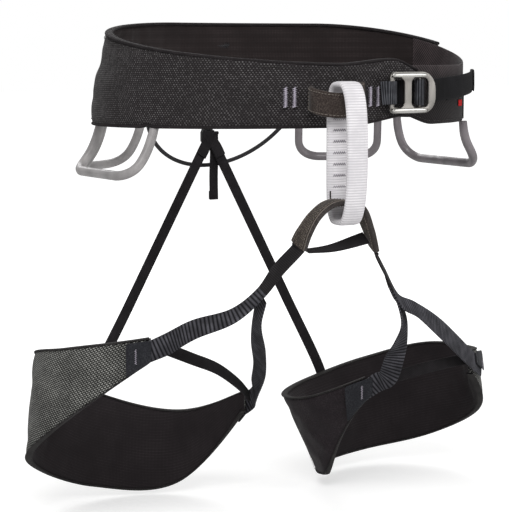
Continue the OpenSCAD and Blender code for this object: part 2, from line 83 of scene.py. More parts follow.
# Heights and outward offsets of a leg pad's edges, at even steps from its outer front end round the
# back to its inner end; side, mid, rx, first and span place its arc (millimetres and degrees)
PADS = {
    "right": dict(
        side=-1, mid=-128, rx=98, first=20, span=245,
        tops=[-196, -206, -220, -263, -286, -264],
        bottoms=[-214, -266, -312, -348, -350, -279],
        top_out=[0, 0, 3, 0, 0, 2],
        low_out=[0, 4, 12, 3, -3, 2],
    ),
    "left": dict(
        side=1, mid=110, rx=92, first=44, span=278,
        tops=[-236, -241, -243, -257, -271, -276, -270, -249],
        bottoms=[-256, -302, -333, -346, -350, -350, -336, -270],
        top_out=[-4, 3, 3, 0, 2, 5, 5, 0],
        low_out=[-2, 11, 9, 3, -12, -30, -27, -6],
    ),
}
LEG_RY = 75
LEG_THICK = 6.4


# ---- Curves ----

def unit(v):
    return np.asarray(v, float) / np.linalg.norm(v)


def units(rows):
    return rows / np.linalg.norm(rows, axis=1)[:, None]


def lengths(p):
    """Length along the points of p, from 0."""
    return np.concatenate([[0], np.cumsum(np.linalg.norm(np.diff(p, axis=0), axis=1))])


def signed(x, p):
    """x to the power p, with the sign of x."""
    return copysign(abs(x) ** p, x)


def mix(a, b, f):
    return a + (b - a) * f


def ease(a, b, x):
    f = min(max((x - a) / (b - a), 0), 1)
    return f * f * (3 - 2 * f)


def item(p, i):
    if i < 0:
        return 2 * np.asarray(p[0], float) - p[1]
    if i >= len(p):
        return 2 * np.asarray(p[-1], float) - p[-2]
    return np.asarray(p[i], float)


def curve(p, f):
    """Smooth curve through the points of p, with f from 0 to 1."""
    n = len(p) - 1
    k = min(floor(f * n), n - 1)
    s = f * n - k
    a, b, c, d = (item(p, k + i) for i in (-1, 0, 1, 2))
    return b + s / 2 * (c - a + s * (2 * a - 5 * b + 4 * c - d + s * (3 * (b - c) + d - a)))


def belt_normal(t):
    a = radians(t)
    return unit([BELT_B * sin(a), -BELT_A * cos(a)])


def belt_xy(t, d):
    a = radians(t)
    return np.array([BELT_X + BELT_A * sin(a), -BELT_B * cos(a)]) + d * belt_normal(t)


def belt_out(t):
    return np.append(belt_normal(t), 0)


def belt_side(t):
    """1 at the wearer's right side, where the belt bulges low and rolls high."""
    return ease(50, 95, -t) * ease(-200, -150, t)


def belt_tuck(t):
    """1 where the front gear loop is sewn in and draws the lower edge up."""
    return exp(-((t + 66) / 1.5) ** 2)


def belt_point(t, z, d):
    """Point of the belt at angle t from the front centre, height z and depth d out of its face."""
    lean = BELT_LEAN * ease(30, 80, -t) * ease(-248, -200, t)
    x, y = belt_xy(t, d - lean * (z - BELT_BOTTOM) / (BELT_TOP_REAR - BELT_BOTTOM))
    return np.array([x, y, z])


def belt_top(t):
    if t < -180:
        climb = ease(45, 150, t + 360)
    elif t > 0:
        climb = ease(45, 150, t)
    else:
        climb = ease(0, 160, -t)
    return mix(BELT_TOP_FRONT, BELT_TOP_REAR, climb)


def main_top(t):
    return belt_top(t) + 4 * ease(-8, 9, t) - 9 * ease(10, 21, t)


def main_low(t):
    return BELT_BOTTOM + 10 * ease(-8, 21, t)


def pad_point(leg, f, v, d):
    """Point of a leg pad: f from its outer front end to its inner end, v up, d out of its face."""
    p = PADS[leg]
    a = radians(p["side"] * (p["first"] + f * p["span"]))
    out = mix(curve(p["low_out"], f), curve(p["top_out"], f), v)
    n = unit([LEG_RY * sin(a), -p["rx"] * cos(a)])
    x = p["mid"] + p["rx"] * sin(a) + (d + out) * n[0]
    y = 2 - LEG_RY * cos(a) + (d + out) * n[1]
    return np.array([x, y, mix(curve(p["bottoms"], f), curve(p["tops"], f), v)])


def pad_across(leg, f):
    return unit(pad_point(leg, f, 1, 0) - pad_point(leg, f, 0, 0))


def pad_out(leg, f, v):
    return pad_point(leg, f, v, 1) - pad_point(leg, f, v, 0)


def grain(point, size, seed=0.0):
    """Repeatable noise from -1 to 1 with features about size millimetres wide."""
    return noise.noise((point[0] / size + seed, point[1] / size, point[2] / size))


# ---- Materials ----

class Value:
    """A node's output that sums can be written with."""

    def __init__(self, shader, socket):
        self.shader, self.socket = shader, socket

    def __add__(self, other):
        return self.shader.math("ADD", self, other)

    def __sub__(self, other):
        return self.shader.math("SUBTRACT", self, other)

    def __mul__(self, other):
        return self.shader.math("MULTIPLY", self, other)

    def __truediv__(self, other):
        return self.shader.math("DIVIDE", self, other)

    def __pow__(self, other):
        return self.shader.math("POWER", self, other)


class Shader:
    """A Principled material with short calls for the node maths behind its pattern."""

    def __init__(self, name, rough=0.8, metal=0.0, sheen=0.0, gloss=0.12):
        self.material = bpy.data.materials.new(name)
        self.material.use_nodes = True
        self.tree = self.material.node_tree
        self.set("Roughness", rough)
        self.set("Metallic", metal)
        self.set("Sheen Weight", sheen)
        self.set("Sheen Roughness", 0.45)
        self.set("Specular IOR Level", gloss)

    def put(self, socket, value):
        if isinstance(value, Value):
            self.tree.links.new(value.socket, socket)
        elif isinstance(value, (tuple, list)):
            socket.default_value = (*value, 1.0)[:len(socket.default_value)]
        else:
            socket.default_value = value

    def set(self, key, value):
        self.put(self.tree.nodes["Principled BSDF"].inputs[key], value)

    def node(self, kind, out, inputs=None, **settings):
        """Value of a new node's output, with inputs and outputs named or numbered."""
        n = self.tree.nodes.new("ShaderNode" + kind)
        for key, setting in settings.items():
            setattr(n, key, setting)
        for key, value in (inputs or {}).items():
            self.put(n.inputs[key], value)
        return Value(self, n.outputs[out])

    def math(self, kind, *args):
        return self.node("Math", 0, dict(enumerate(args)), operation=kind)

    def smooth(self, x, low, high, to_low=0.0, to_high=1.0):
        return self.node("MapRange", 0, dict(enumerate((x, low, high, to_low, to_high))),
                         interpolation_type="SMOOTHSTEP")

    def mix(self, fac, a, b):
        return self.node("Mix", 2, {0: fac, 6: a, 7: b}, data_type="RGBA")

    def uv(self):
        place_at = self.node("UVMap", 0)
        return [self.node("SeparateXYZ", axis, {0: place_at}) for axis in (0, 1)]

    def cell(self, x, y):
        """Random value of the cell that whole numbers x and y name."""
        return self.node("TexWhiteNoise", 0, {0: self.node("CombineXYZ", 0, {0: x, 1: y})})

    def cloud(self, scale, detail=3.0, stretch=(1, 1, 1)):
        """Soft noise in the object's own space, with scale in features per metre."""
        where = self.node("Mapping", 0, {"Vector": self.node("TexCoord", "Object"), "Scale": stretch})
        return self.node("TexNoise", "Fac", {"Vector": where, "Scale": scale, "Detail": detail})

    def wave(self, x, pitch):
        """Sine of x from 0 to 1 with the given pitch."""
        return self.math("SINE", x * (2 * pi / pitch)) * 0.5 + 0.5

    def finish(self, color, height, strength, distance):
        """Sets the colour and the bump height, and gives the material."""
        self.set("Normal", self.node("Bump", 0, {"Strength": strength, "Distance": distance, "Height": height}))
        self.set("Base Color", color)
        return self.material


def shade(color, *levels):
    return [[c * level for c in color] for level in levels]


def flecked(name, base, yarn, step_u, step_v, shift, cover, amount=1.0, least=0.3):
    """Weave of dark cloth with short light yarn floats, each row shifted along the last."""
    s = Shader(name, rough=0.9, sheen=0.08)
    u, v = s.uv()
    row = s.math("FLOOR", v / step_v)
    x = row * shift + u / step_u
    dash = (s.smooth(s.math("PINGPONG", x, 0.5), 0.5 - cover / 2, 0.5 - cover / 5)
            * s.smooth(s.math("PINGPONG", v / step_v, 0.5), 0.14, 0.30))
    luck = s.smooth(s.cell(s.math("FLOOR", x), row), 0.1, 0.9, least, 1.0)
    patch = s.smooth(s.cloud(45), 0.3, 0.68, 0.6, 1.0)
    threads = s.wave(u, 0.9) * s.wave(v, 0.9)
    ground = s.mix(threads, *shade(base, 0.55, 1.35))
    return s.finish(s.mix(dash * luck * patch * amount, ground, yarn), dash + threads * 0.5, 0.7, 0.0003)


def ribbed(name, base, light, pitch, thread=0.8, rough=0.75):
    """Webbing: cross ribs with fine threads along them, with a painted highlight on each crest."""
    s = Shader(name, rough=rough, sheen=0.02, gloss=0.08)
    u, v = s.uv()
    crest = s.math("ABSOLUTE", s.math("SINE", u * (pi / pitch))) ** 1.6
    threads = s.wave(u * 0.4 + v, thread)
    wear_and_highlight_patch = s.smooth(s.cloud(90), 0.35, 0.7)
    # The lighter crests are painted highlight; a random cloud makes its strength patchy.
    show = crest * (wear_and_highlight_patch * 0.5 + 0.5) * (threads * 0.5 + 0.5)
    return s.finish(s.mix(show, base, light), crest * 0.6 + threads * 0.4, 0.6, 0.00025)


def fine_mesh(name, base, light, pitch, band):
    """Close mesh lining with faint bands across it."""
    s = Shader(name, rough=0.92, sheen=0.08)
    u, v = s.uv()
    net = s.wave(u, pitch) * s.wave(v, pitch)
    show = net * s.smooth(s.cloud(30), 0.3, 0.7, 0.3, 1.0) * (s.wave(v, band) * 0.6 + 0.4)
    return s.finish(s.mix(show, base, light), net, 0.5, 0.0002)


def twill(name, base, light, pitch, low, high):
    """Diagonal ribs that fade in between heights low and high (mm up the cloth)."""
    s = Shader(name, rough=0.8, sheen=0.1)
    u, v = s.uv()
    line = s.wave(u + v, pitch)
    cross = s.wave(u - v, pitch * 0.55)
    patch = s.smooth(s.cloud(60), 0.3, 0.7, 0.5, 1.0)
    show = line * patch * (cross * 0.3 + 0.7) * s.smooth(v, low, high, 0.12, 1.0)
    return s.finish(s.mix(show, base, light), line, 0.6, 0.0003)


def suede(name, base, light, dots=0.0):
    """Tight wear cloth: fine grain, and dots of light coating where dots is above 0."""
    s = Shader(name, rough=0.82, sheen=0.1)
    height = s.cloud(900, 4.0)
    show = s.smooth(height, 0.35, 0.7) * s.smooth(s.cloud(80, 2.0), 0.25, 0.75, 0.35, 1.0)
    color = s.mix(show, base, light)
    if dots:
        u, v = (way / dots for way in s.uv())
        x, y = (s.smooth(s.math("PINGPONG", way, 0.5), 0.22, 0.4) for way in (u, v))
        spot = x * y * s.smooth(s.cell(s.math("FLOOR", u), s.math("FLOOR", v)), 0.25, 0.8)
        color = s.mix(spot * 0.55, color, (0.42, 0.36, 0.26))
        height = height + spot
    return s.finish(color, height, 0.5, 0.0003)


def metal(name, base, rough, stretch):
    """Aluminium with a drawn or tumbled surface and small scratches."""
    s = Shader(name, metal=1.0, gloss=0.5)
    streak = s.cloud(500, 5.0, stretch)
    marks = s.smooth(s.cloud(220, 6.0, (1, 4, 1)), 0.62, 0.7)
    s.set("Roughness", s.smooth(streak, 0.2, 0.8, rough * 0.75, rough * 1.35))
    dull, wear_and_highlight_patch = shade(base, 0.9, 0.72)
    return s.finish(s.mix(marks, s.mix(streak, dull, base), wear_and_highlight_patch), streak, 0.12, 0.0001)


def moulded(name, base, edge, rough=0.42):
    """Moulded plastic: a little mottled, with a painted highlight on its edges."""
    s = Shader(name, gloss=0.5)
    tone = s.mix(s.smooth(s.cloud(60, 4.0), 0.3, 0.7), *shade(base, 0.8, 1.15))
    # Pointiness finds the edges, where a lighter colour is mixed in as painted highlight.
    edges = s.smooth(s.node("NewGeometry", "Pointiness"), 0.5, 0.58)
    s.set("Roughness", s.smooth(s.cloud(150, 4.0), 0.3, 0.75, rough * 0.85, rough * 1.35))
    s.set("Coat Weight", 0.12)
    return s.finish(s.mix(edges * 0.6, tone, edge), s.cloud(1500, 3.0), 0.15, 0.0002)


def thread(name, base, light):
    """Twisted sewing thread."""
    s = Shader(name, rough=0.55, sheen=0.1, gloss=0.3)
    u, v = s.uv()
    twist = s.wave(u + v, 0.5)
    return s.finish(s.mix(twist * s.smooth(s.cloud(400), 0.3, 0.7, 0.5, 1.0), base, light), twist, 0.4, 0.0001)


def braid(name, base, light, pitch):
    """Two sets of strands that cross round a cord."""
    s = Shader(name, rough=0.7, sheen=0.1, gloss=0.25)
    u, v = s.uv()
    strands = s.math("MAXIMUM", s.wave(u + v, pitch), s.wave(u - v, pitch))
    return s.finish(s.mix(strands ** 3.0, base, light), strands, 0.6, 0.0003)


LOOKS = {
    "outer_weave": flecked("outer weave", (0.026, 0.0225, 0.0235), (0.175, 0.166, 0.168), 2.5, 1.6, 0.42, 0.62, 0.8),
    "leg_outer_mesh": flecked("leg mesh", (0.016, 0.016, 0.0155), (0.40, 0.40, 0.375), 2.3, 1.75, 0.5, 0.9, 1, 0.72),
    "inner_mesh": fine_mesh("lining", (0.0160, 0.0122, 0.0122), (0.060, 0.047, 0.047), 1.4, 7.0),
    "leg_inner": fine_mesh("leg lining", (0.0165, 0.0135, 0.0148), (0.058, 0.049, 0.052), 1.2, 2.6),
    "leg_smooth": suede("thigh cloth", (0.0160, 0.0125, 0.0145), (0.036, 0.0285, 0.032)),
    "leg_edge": ribbed("leg edge tape", (0.015, 0.0135, 0.014), (0.075, 0.072, 0.070), 1.1),
    "edge_tape": ribbed("edge tape", (0.012, 0.0105, 0.011), (0.044, 0.038, 0.040), 1.1),
    "tongue_fabric": twill("tongue cloth", (0.0105, 0.0085, 0.0090), (0.095, 0.073, 0.076), 3.0, 30, 46),
    "black_webbing": ribbed("strap webbing", (0.0042, 0.0040, 0.0046), (0.016, 0.0155, 0.018), 2.2),
    "ribbed_webbing": ribbed("leg webbing", (0.0050, 0.0050, 0.0060), (0.140, 0.138, 0.158), 3.4),
    "buckle_webbing": ribbed("buckle webbing", (0.0035, 0.0035, 0.0045), (0.150, 0.155, 0.175), 1.9),
    "elastic": ribbed("elastic webbing", (0.0095, 0.0085, 0.0092), (0.034, 0.031, 0.034), 1.0, 1.6),
    "tie_in_webbing": ribbed("tie-in webbing", (0.011, 0.010, 0.0105), (0.042, 0.039, 0.041), 1.6),
    "tie_in_sleeve": suede("tie-in sleeve", (0.030, 0.0225, 0.0195), (0.098, 0.078, 0.070)),
    "low_sleeve": suede("lower sleeve", (0.032, 0.0255, 0.0225), (0.102, 0.085, 0.076), 1.5),
    "sleeve_edge": suede("sleeve edge", (0.034, 0.0285, 0.027), (0.075, 0.066, 0.062)),
    "belay_webbing": ribbed("belay webbing", (0.62, 0.60, 0.625), (0.96, 0.94, 0.955), 2.1, 1.0, 0.7),
    "grey_stitch": thread("grey thread", (0.17, 0.16, 0.18), (0.42, 0.40, 0.44)),
    "bar_tack_thread": thread("lilac thread", (0.27, 0.245, 0.30), (0.70, 0.65, 0.74)),
    "brown_thread": thread("brown thread", (0.10, 0.085, 0.072), (0.30, 0.26, 0.225)),
    "dark_thread": thread("dark thread", (0.014, 0.0125, 0.0125), (0.065, 0.058, 0.056)),
    "buckle_satin": metal("satin aluminium", (0.275, 0.262, 0.245), 0.33, (1, 1, 0.15)),
    "buckle_polished": metal("polished aluminium", (0.62, 0.61, 0.58), 0.16, (0.1, 0.1, 1)),
    # One gear loop plastic in two copies: the lighter one on the right loops is the lit copy, the darker one on the
    # left loops is painted shade.
    "loop_plastic": moulded("gear loop plastic", (0.33, 0.315, 0.315), (0.66, 0.64, 0.64)),
    "loop_plastic_shaded": moulded("shaded loop plastic", (0.165, 0.148, 0.158), (0.50, 0.48, 0.49)),
    "hook_plastic": moulded("hook plastic", (0.010, 0.0095, 0.010), (0.05, 0.05, 0.05), 0.5),
    "black_cord": braid("black cord", (0.006, 0.006, 0.0065), (0.036, 0.034, 0.038), 2.0),
    "tab_synthetic": suede("tab leather", (0.016, 0.0165, 0.020), (0.040, 0.041, 0.047)),
    "red_tag": ribbed("red tag", (0.42, 0.006, 0.008), (0.80, 0.020, 0.020), 0.9),
}


# ---- Mesh building ----

def link(name, data):
    """New object in the scene."""
    piece = bpy.data.objects.new(name, data)
    bpy.context.scene.collection.objects.link(piece)
    return piece


def mesh(name, points, faces, uvs, looks, face_looks):
    """New object from points in millimetres, with a UV map that is in millimetres too."""
    data = bpy.data.meshes.new(name)
    data.from_pydata((np.asarray(points, float) * MM).tolist(), [], [list(map(int, f)) for f in faces])
    layer = data.uv_layers.new(name="UVMap")
    layer.data.foreach_set("uv", np.asarray(uvs, np.float32).ravel())
    for look in looks:
        data.materials.append(LOOKS[look])
    data.polygons.foreach_set("material_index", face_looks)
    data.polygons.foreach_set("use_smooth", [True] * len(data.polygons))
    data.update()
    data.validate()
    return link(name, data)


def rings_mesh(name, rings, u, v, looks, closed=False, face_look=None):
    """Skin over rings[n][m] of points; u is each ring's UV place and v[m + 1] goes round a ring."""
    rings = np.asarray(rings, float)
    n, m = rings.shape[:2]
    u = np.asarray(u, float)
    v = np.broadcast_to(np.asarray(v, float), (len(u), m + 1))
    last = n if closed else n - 1
    faces, uvs, kinds = [], [], []
    for i in range(last):
        k = (i + 1) % n
        ku = i + 1
        kv = v[min(ku, len(v) - 1)]
        for j in range(m):
            w = (j + 1) % m
            faces.append((i * m + j, k * m + j, k * m + w, i * m + w))
            uvs += [(u[i], v[i][j]), (u[ku], kv[j]), (u[ku], kv[j + 1]), (u[i], v[i][j + 1])]
            kinds.append(face_look(i, j) if face_look else 0)
    if not closed:
        for i, ring in ((0, range(m - 1, -1, -1)), (n - 1, range(m))):
            faces.append([i * m + j for j in ring])
            uvs += [(u[i], v[i][j]) for j in ring]
            kinds.append(kinds[0 if i == 0 else -1])
    piece = mesh(name, rings.reshape(-1, 3), faces, uvs, looks, kinds)
    outward(piece)
    return piece


def outward(piece):
    """Turns the faces of a closed mesh outwards."""
    data = piece.data
    data.calc_loop_triangles()
    co = np.array([p.co for p in data.vertices], float)
    tri = np.array([t.vertices for t in data.loop_triangles])
    a, b, c = co[tri[:, 0]], co[tri[:, 1]], co[tri[:, 2]]
    if np.einsum("ij,ij->i", a, np.cross(b, c)).sum() < 0:
        data.flip_normals()


def subdivide(piece):
    m = piece.modifiers.new("subdivision", "SUBSURF")
    m.levels = m.render_levels = 1


def place(piece, body, slot, *nodes):
    """Rides the piece on its CAD body and hides the CAD nodes it stands for."""
    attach(piece, body)
    if nodes:
        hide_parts(*nodes)


def joined(name, pieces):
    """Joins small meshes into one object."""
    with bpy.context.temp_override(
            active_object=pieces[0], selected_editable_objects=pieces, selected_objects=pieces):
        bpy.ops.object.join()
    pieces[0].name = name
    return pieces[0]


class Path:
    """A strap's line, cut at even lengths: places, directions along and across it, and lengths."""

    def __init__(self, points, wide, step, closed=False):
        fs = np.linspace(0, 1, 40 * len(points))
        line = np.array([curve(points, f) for f in fs])
        far = lengths(line)
        n = max(3, int(round(far[-1] / step)))
        self.length = far[-1]
        self.s = np.linspace(0, far[-1], n + 1)
        at = np.interp(self.s, far, fs)
        self.p = np.array([curve(points, f) for f in at])
        self.along = units(np.gradient(self.p, axis=0))
        wide = [wide, wide] if np.ndim(wide) == 1 else wide
        w = np.array([curve(wide, f) for f in at])
        w -= self.along * np.sum(w * self.along, axis=1)[:, None]
        self.side = units(w)
        self.face = np.cross(self.along, self.side)

    def trim(self, start, end):
        """Keeps only the part between two lengths."""
        keep = (self.s >= start) & (self.s <= end)
        for key in ("p", "along", "side", "face", "s"):
            setattr(self, key, getattr(self, key)[keep])
        self.s = self.s - self.s[0]
        self.length = self.s[-1]
        return self

    def out(self, s):
        return self.at(s, 0, 1) - self.at(s, 0, 0)

    def across(self, s):
        return self.at(s, 1, 0) - self.at(s, 0, 0)

    def at(self, s, x, y):
        """Point at length s, x across the strap and y out of its face."""
        out = np.zeros(3)
        for axis in range(3):
            out[axis] = (np.interp(s, self.s, self.p[:, axis])
                         + x * np.interp(s, self.s, self.side[:, axis])
                         + y * np.interp(s, self.s, self.face[:, axis]))
        return out


def flat_profile(width, thick, faces=8, bends=3):
    """Outline of a strap: rows of (across, out, share of the rib height)."""
    h = thick / 2
    half = width / 2 - h
    rows = []
    for sign in (1, -1):
        for k in range(faces + 1):
            x = sign * (half - 2 * half * k / faces)
            rows.append((x, sign * h, 0.0 if k in (0, faces) else 1.0))
        for k in range(1, bends + 1):
            a = pi * k / (bends + 1)
            rows.append((-sign * (half + h * sin(a)), sign * h * cos(a), 0.0))
    return rows


def strap(name, path, width, thick, look, rib=0.0, pitch=3.0, waist=None, plain=0.0):
    """Webbing along a path, with rounded edges and cross ribs; it is plain for its first plain millimetres."""
    profile = flat_profile(width, thick)
    rings = []
    for i, s in enumerate(path.s):
        lift = rib * (abs(sin(pi * s / pitch)) ** 0.7 - 1) if s > plain else 0
        wide = waist(s) if waist else 1.0
        rings.append([path.p[i] + path.side[i] * x * wide + path.face[i] * (y + copysign(lift * share, y))
                      for x, y, share in profile])
    across = [x for x, _, _ in profile + profile[:1]]
    return rings_mesh(name, rings, path.s, across, [look, "tie_in_webbing"],
                      face_look=lambda i, j: int(path.s[i] < plain))


def tube(name, points, radius, look, sides=10, closed=False, up=(0.31, 0.2, 0.93)):
    """Round cord through points; radius may be a list, one for each point."""
    p = np.asarray(points, float)
    along = units(np.roll(p, -1, axis=0) - np.roll(p, 1, axis=0) if closed else np.gradient(p, axis=0))
    side = units(np.cross(along, np.asarray(up, float)))
    face = np.cross(side, along)
    r = np.broadcast_to(np.asarray(radius, float), (len(p),))
    angles = [2 * pi * k / sides for k in range(sides)]
    rings = [[p[i] + r[i] * (side[i] * cos(a) + face[i] * sin(a)) for a in angles]
             for i in range(len(p))]
    far = lengths(p)
    if closed:
        far = np.append(far, far[-1] + np.linalg.norm(p[0] - p[-1]))
    round_way = np.mean(r) * 2 * pi * np.linspace(0, 1, sides + 1)
    return rings_mesh(name, rings, far, round_way, [look], closed)


def stitches(name, spots, look, radius=0.28):
    """Running stitch: each spot is (start, end, out) in millimetres; a thread bows between them."""
    parts = []
    for k, (a, b, out) in enumerate(spots):
        line = [mix(a, b, f) + out * (radius * 1.5 * sin(pi * f) - radius * 0.4)
                for f in (0, 0.2, 0.5, 0.8, 1)]
        parts.append(tube(f"{name}_{k}", line, [radius * q for q in (0.5, 0.9, 1, 0.9, 0.5)], look, 6))
    return joined(name, parts)


def line_of_stitches(point, start, end, pitch=3.0, gap=0.9):
    """Spots for stitches() along point(s) -> (place, out), for s from start to end."""
    spots = []
    s = start
    while s + pitch - gap <= end:
        a, out = point(s)
        b, _ = point(s + pitch - gap)
        spots.append((a, b, out))
        s += pitch
    return spots


def bar_tack(name, middle, across, up, out, width, height, look, pitch, radius):
    """Zigzag bar tack round a middle point, width across and height up, on a face that looks out."""
    turns = int(height / pitch)
    line = []
    for k in range(turns + 1):
        y = -height / 2 + height * k / turns
        x = width / 2 * (1 if k % 2 else -1)
        line.append(middle + across * x + up * y + out * 0.1)
        line.append(middle + up * (y + height / turns / 2) + out * radius)
    return tube(name, line, radius, look, 6)


# ---- Padded cloth ----

def swell(piece, pins, pressure, cap, stretch):
    """Cloth simulation: air pressure puffs the closed pad between its pinned seams."""
    scene = bpy.context.scene
    group = piece.vertex_groups.new(name="seams")
    for index, weight in enumerate(pins):
        if weight > 0:
            group.add([index], float(weight), "REPLACE")
    cloth = piece.modifiers.new("cloth", "CLOTH")
    cloth.point_cache.frame_start = 1
    cloth.point_cache.frame_end = 20
    for key, value in dict(quality=4, mass=0.2, tension_stiffness=12, compression_stiffness=12, shear_stiffness=6,
                           bending_stiffness=0.3, use_pressure=True, uniform_pressure_force=pressure,
                           vertex_group_mass="seams", pin_stiffness=1.0, shrink_min=-stretch).items():
        setattr(cloth.settings, key, value)
    cloth.settings.effector_weights.gravity = 0
    cloth.collision_settings.use_collision = False
    count = len(piece.data.vertices) * 3
    rest = np.zeros(count, np.float32)
    piece.data.vertices.foreach_get("co", rest)
    for step in range(1, 21):
        scene.frame_set(step)
    soft = np.zeros(count, np.float32)
    done = piece.evaluated_get(bpy.context.evaluated_depsgraph_get())
    done.data.vertices.foreach_get("co", soft)
    piece.modifiers.remove(cloth)
    scene.frame_set(1)
    rest = rest.reshape(-1, 3).astype(float)
    move = np.nan_to_num(soft.reshape(-1, 3) - rest)
    size = np.linalg.norm(move, axis=1)
    limit = cap * MM
    keep = limit * np.tanh(size / limit) / np.maximum(size, 1e-9)
    piece.data.vertices.foreach_set("co", (rest + move * keep[:, None]).astype(np.float32).ravel())
    piece.data.update()


def pad_outline(height, thick, faces, bends=4):
    """Outline of a pad: rows of (share of the height, depth), outer face up, then the inner face down."""
    r = thick / 2
    edge = r / height
    rows = []
    for k in range(faces + 1):
        rows.append((mix(edge, 1 - edge, k / faces), 0.0))
    for k in range(1, bends + 1):
        a = pi * k / (bends + 1)
        rows.append((1 - edge + edge * sin(a), -r + r * cos(a)))
    for k in range(faces + 1):
        rows.append((mix(1 - edge, edge, k / faces), -thick))
    for k in range(1, bends + 1):
        a = pi * k / (bends + 1)
        rows.append((edge - edge * sin(a), -r - r * cos(a)))
    return rows


def soft_oval(sides, out, up):
    """Outline of a binding: rows of (out, up) round a rounded box."""
    angles = [2 * pi * k / sides for k in range(sides)]
    return [(signed(cos(a), 0.7) * out, signed(sin(a), 0.8) * up) for a in angles]


def pinch(i, n, rows):
    """Share of the full thickness near a pad's two ends."""
    q = min(i, n - 1 - i) / rows
    return sqrt(1 - (1 - min(q, 1)) ** 2) * 0.85 + 0.15


def waist_pad():
    """The padded belt: outer weave, lining and rolled edges in one sewn tube of cloth."""
    n = 250
    faces = 15
    shrink = 0.9
    outline = pad_outline(66, BELT_THICK - 2 * shrink, faces)
    rings, us, vs, pins = [], [], [], []
    for i in range(n):
        t = mix(BELT_START, BELT_END, i / (n - 1))
        low, top = main_low(t), main_top(t)
        thin = pinch(i, n, 4)
        mid = -BELT_THICK / 2
        ring = []
        for j, (v, d) in enumerate(outline):
            depth = mid + (d - shrink - mid) * thin
            z = mix(low, top, v)
            # The top edge rolls over and the lower half bulges
            roll = 1.6 * ease(0.86, 1, v) * ease(20, 80, -t) if d > -1 else 0
            bulge = (1.3 - 2.8 * ease(0.42, 0.68, v)) * belt_side(t)
            tuck = belt_tuck(t) * (1 - ease(0, 0.22, v))
            ring.append(belt_point(t, z + 1.6 * tuck, depth - roll + bulge - 1.4 * tuck))
            seam = v < 0.05 or v > 0.955 or i < 3 or i > n - 4
            stitched = d > -1 and any(abs(v - s) < 0.6 / faces for s in (0.28, 0.72)) and t > -150
            pins.append(1.0 if seam else (0.75 if stitched else 0.0))
        rings.append(ring)
        us.append(radians(t) * BELT_ROUND)
        vs.append([mix(low, top, v) for v, _ in outline + outline[:1]])

    def look(i, j):
        return 0 if j < faces + 3 or j > 2 * faces + 7 else 1

    piece = rings_mesh("waist_pad", rings, us, vs, ["outer_weave", "inner_mesh"], face_look=look)
    swell(piece, pins, 5.0, 1.5, 0.015)
    pucker(piece, 1.1, 24, 6)
    subdivide(piece)
    place(piece, "waistbelt", "outer_weave",
          "belt_outer_shell", "belt_foam_core", "belt_inner_liner", "belt_load_webbing")


def pucker(piece, height, size, long=3):
    """Soft wrinkles of the finished cloth, long the way round the wearer and short up and down."""
    for vertex, normal in zip(piece.data.vertices, [v.normal.copy() for v in piece.data.vertices]):
        p = vertex.co / MM
        wave = grain((p.x / long, p.y / long, p.z), size * 0.5) + 0.5 * grain((p.x, p.y, p.z * 1.5), size * 0.6, 7.3)
        vertex.co += normal * (wave * height * MM)
    piece.data.update()


def belt_rim(name, height, at_top):
    """Folded tape over an edge of the belt."""
    rings, us = [], []
    n = 260
    across = BELT_THICK / 2 - (0.4 if at_top else 0.8)
    for i in range(n):
        t = mix(BELT_START + 0.4, BELT_END - 0.4, i / (n - 1))
        roll = 0.8 * ease(20, 80, -t) + 1.5 * belt_side(t) if at_top else -1.3 * belt_side(t)
        tuck = 0 if at_top else belt_tuck(t)
        ring = []
        for out, lift in soft_oval(16, across, 1.5):
            ring.append(belt_point(t, height(t) + lift + 1.6 * tuck, -BELT_THICK / 2 - roll - 1.4 * tuck + out))
        rings.append(ring)
        us.append(radians(t) * BELT_ROUND)
    return rings_mesh(name, rings, us, np.linspace(0, 26, 17), ["edge_tape"])


def belt_edges():
    top = belt_rim("belt_top_edge", lambda t: main_top(t) - 0.4, True)
    low = belt_rim("belt_bottom_edge", lambda t: main_low(t) + 0.4, False)
    place(joined("belt_edges", [top, low]), "waistbelt", "edge_tape", "belt_edge_binding")
    spots = []
    for at_top in (True, False):
        t = BELT_START + 3
        while t < BELT_END - 2:
            ends = []
            for q in (t, t + 0.8):
                d = -1.5 * belt_side(q) - 0.9 * ease(20, 80, -q) if at_top else 1.3 * belt_side(q)
                ends.append(belt_point(q, main_top(q) - 4.2 if at_top else main_low(q) + 4.4, d - 0.55))
            spots.append((*ends, belt_out(t)))
            t += 1.15
    place(stitches("belt_edge_stitching", spots, "dark_thread", 0.24), "waistbelt", "edge_tape")


def tongue_low(t):
    return BELT_BOTTOM - 1 + 14 * (1 - ease(8, 30, t))


def tongue():
    """The belt's thin inner end, which the waist strap pulls from."""
    n = 90
    faces = 14
    thick = 2.0
    d0 = -BELT_THICK - 0.4
    outline = pad_outline(70, thick, faces, 2)
    rings, us, vs = [], [], []
    for i in range(n):
        t = mix(2, 110, i / (n - 1))
        low = tongue_low(t)
        top = belt_top(t) - 1 - 6 * (1 - ease(4, 20, t))
        thin = pinch(i, n, 2)
        ring = []
        for v, d in outline:
            depth = d0 - thick / 2 + (d + thick / 2) * thin
            channel = 0.25 * exp(-((v - 0.62) / 0.02) ** 2) if d > -0.5 else 0
            ring.append(belt_point(t, mix(low, top, v), depth - channel))
        rings.append(ring)
        us.append(radians(t) * 145)
        vs.append([mix(low, top, v) - BELT_BOTTOM for v, _ in outline + outline[:1]])
    piece = rings_mesh("belt_tongue", rings, us, vs, ["tongue_fabric"])
    pucker(piece, 0.15, 12)
    subdivide(piece)
    place(piece, "waistbelt", "tongue_fabric", "belt_tongue")
    line = [belt_point(63.5, z, d0 + 0.35) for z in np.linspace(BELT_BOTTOM + 1, 8, 24)]
    place(tube("tongue_piping", line, 0.75, "edge_tape", 8), "waistbelt", "edge_tape")

    def along_low(s):
        t = 12 + s * 0.4
        return belt_point(t, tongue_low(t) + 3, d0 + 0.15), belt_out(t)

    place(stitches("tongue_stitching", line_of_stitches(along_low, 18, 240), "dark_thread", 0.24),
          "waistbelt", "edge_tape")


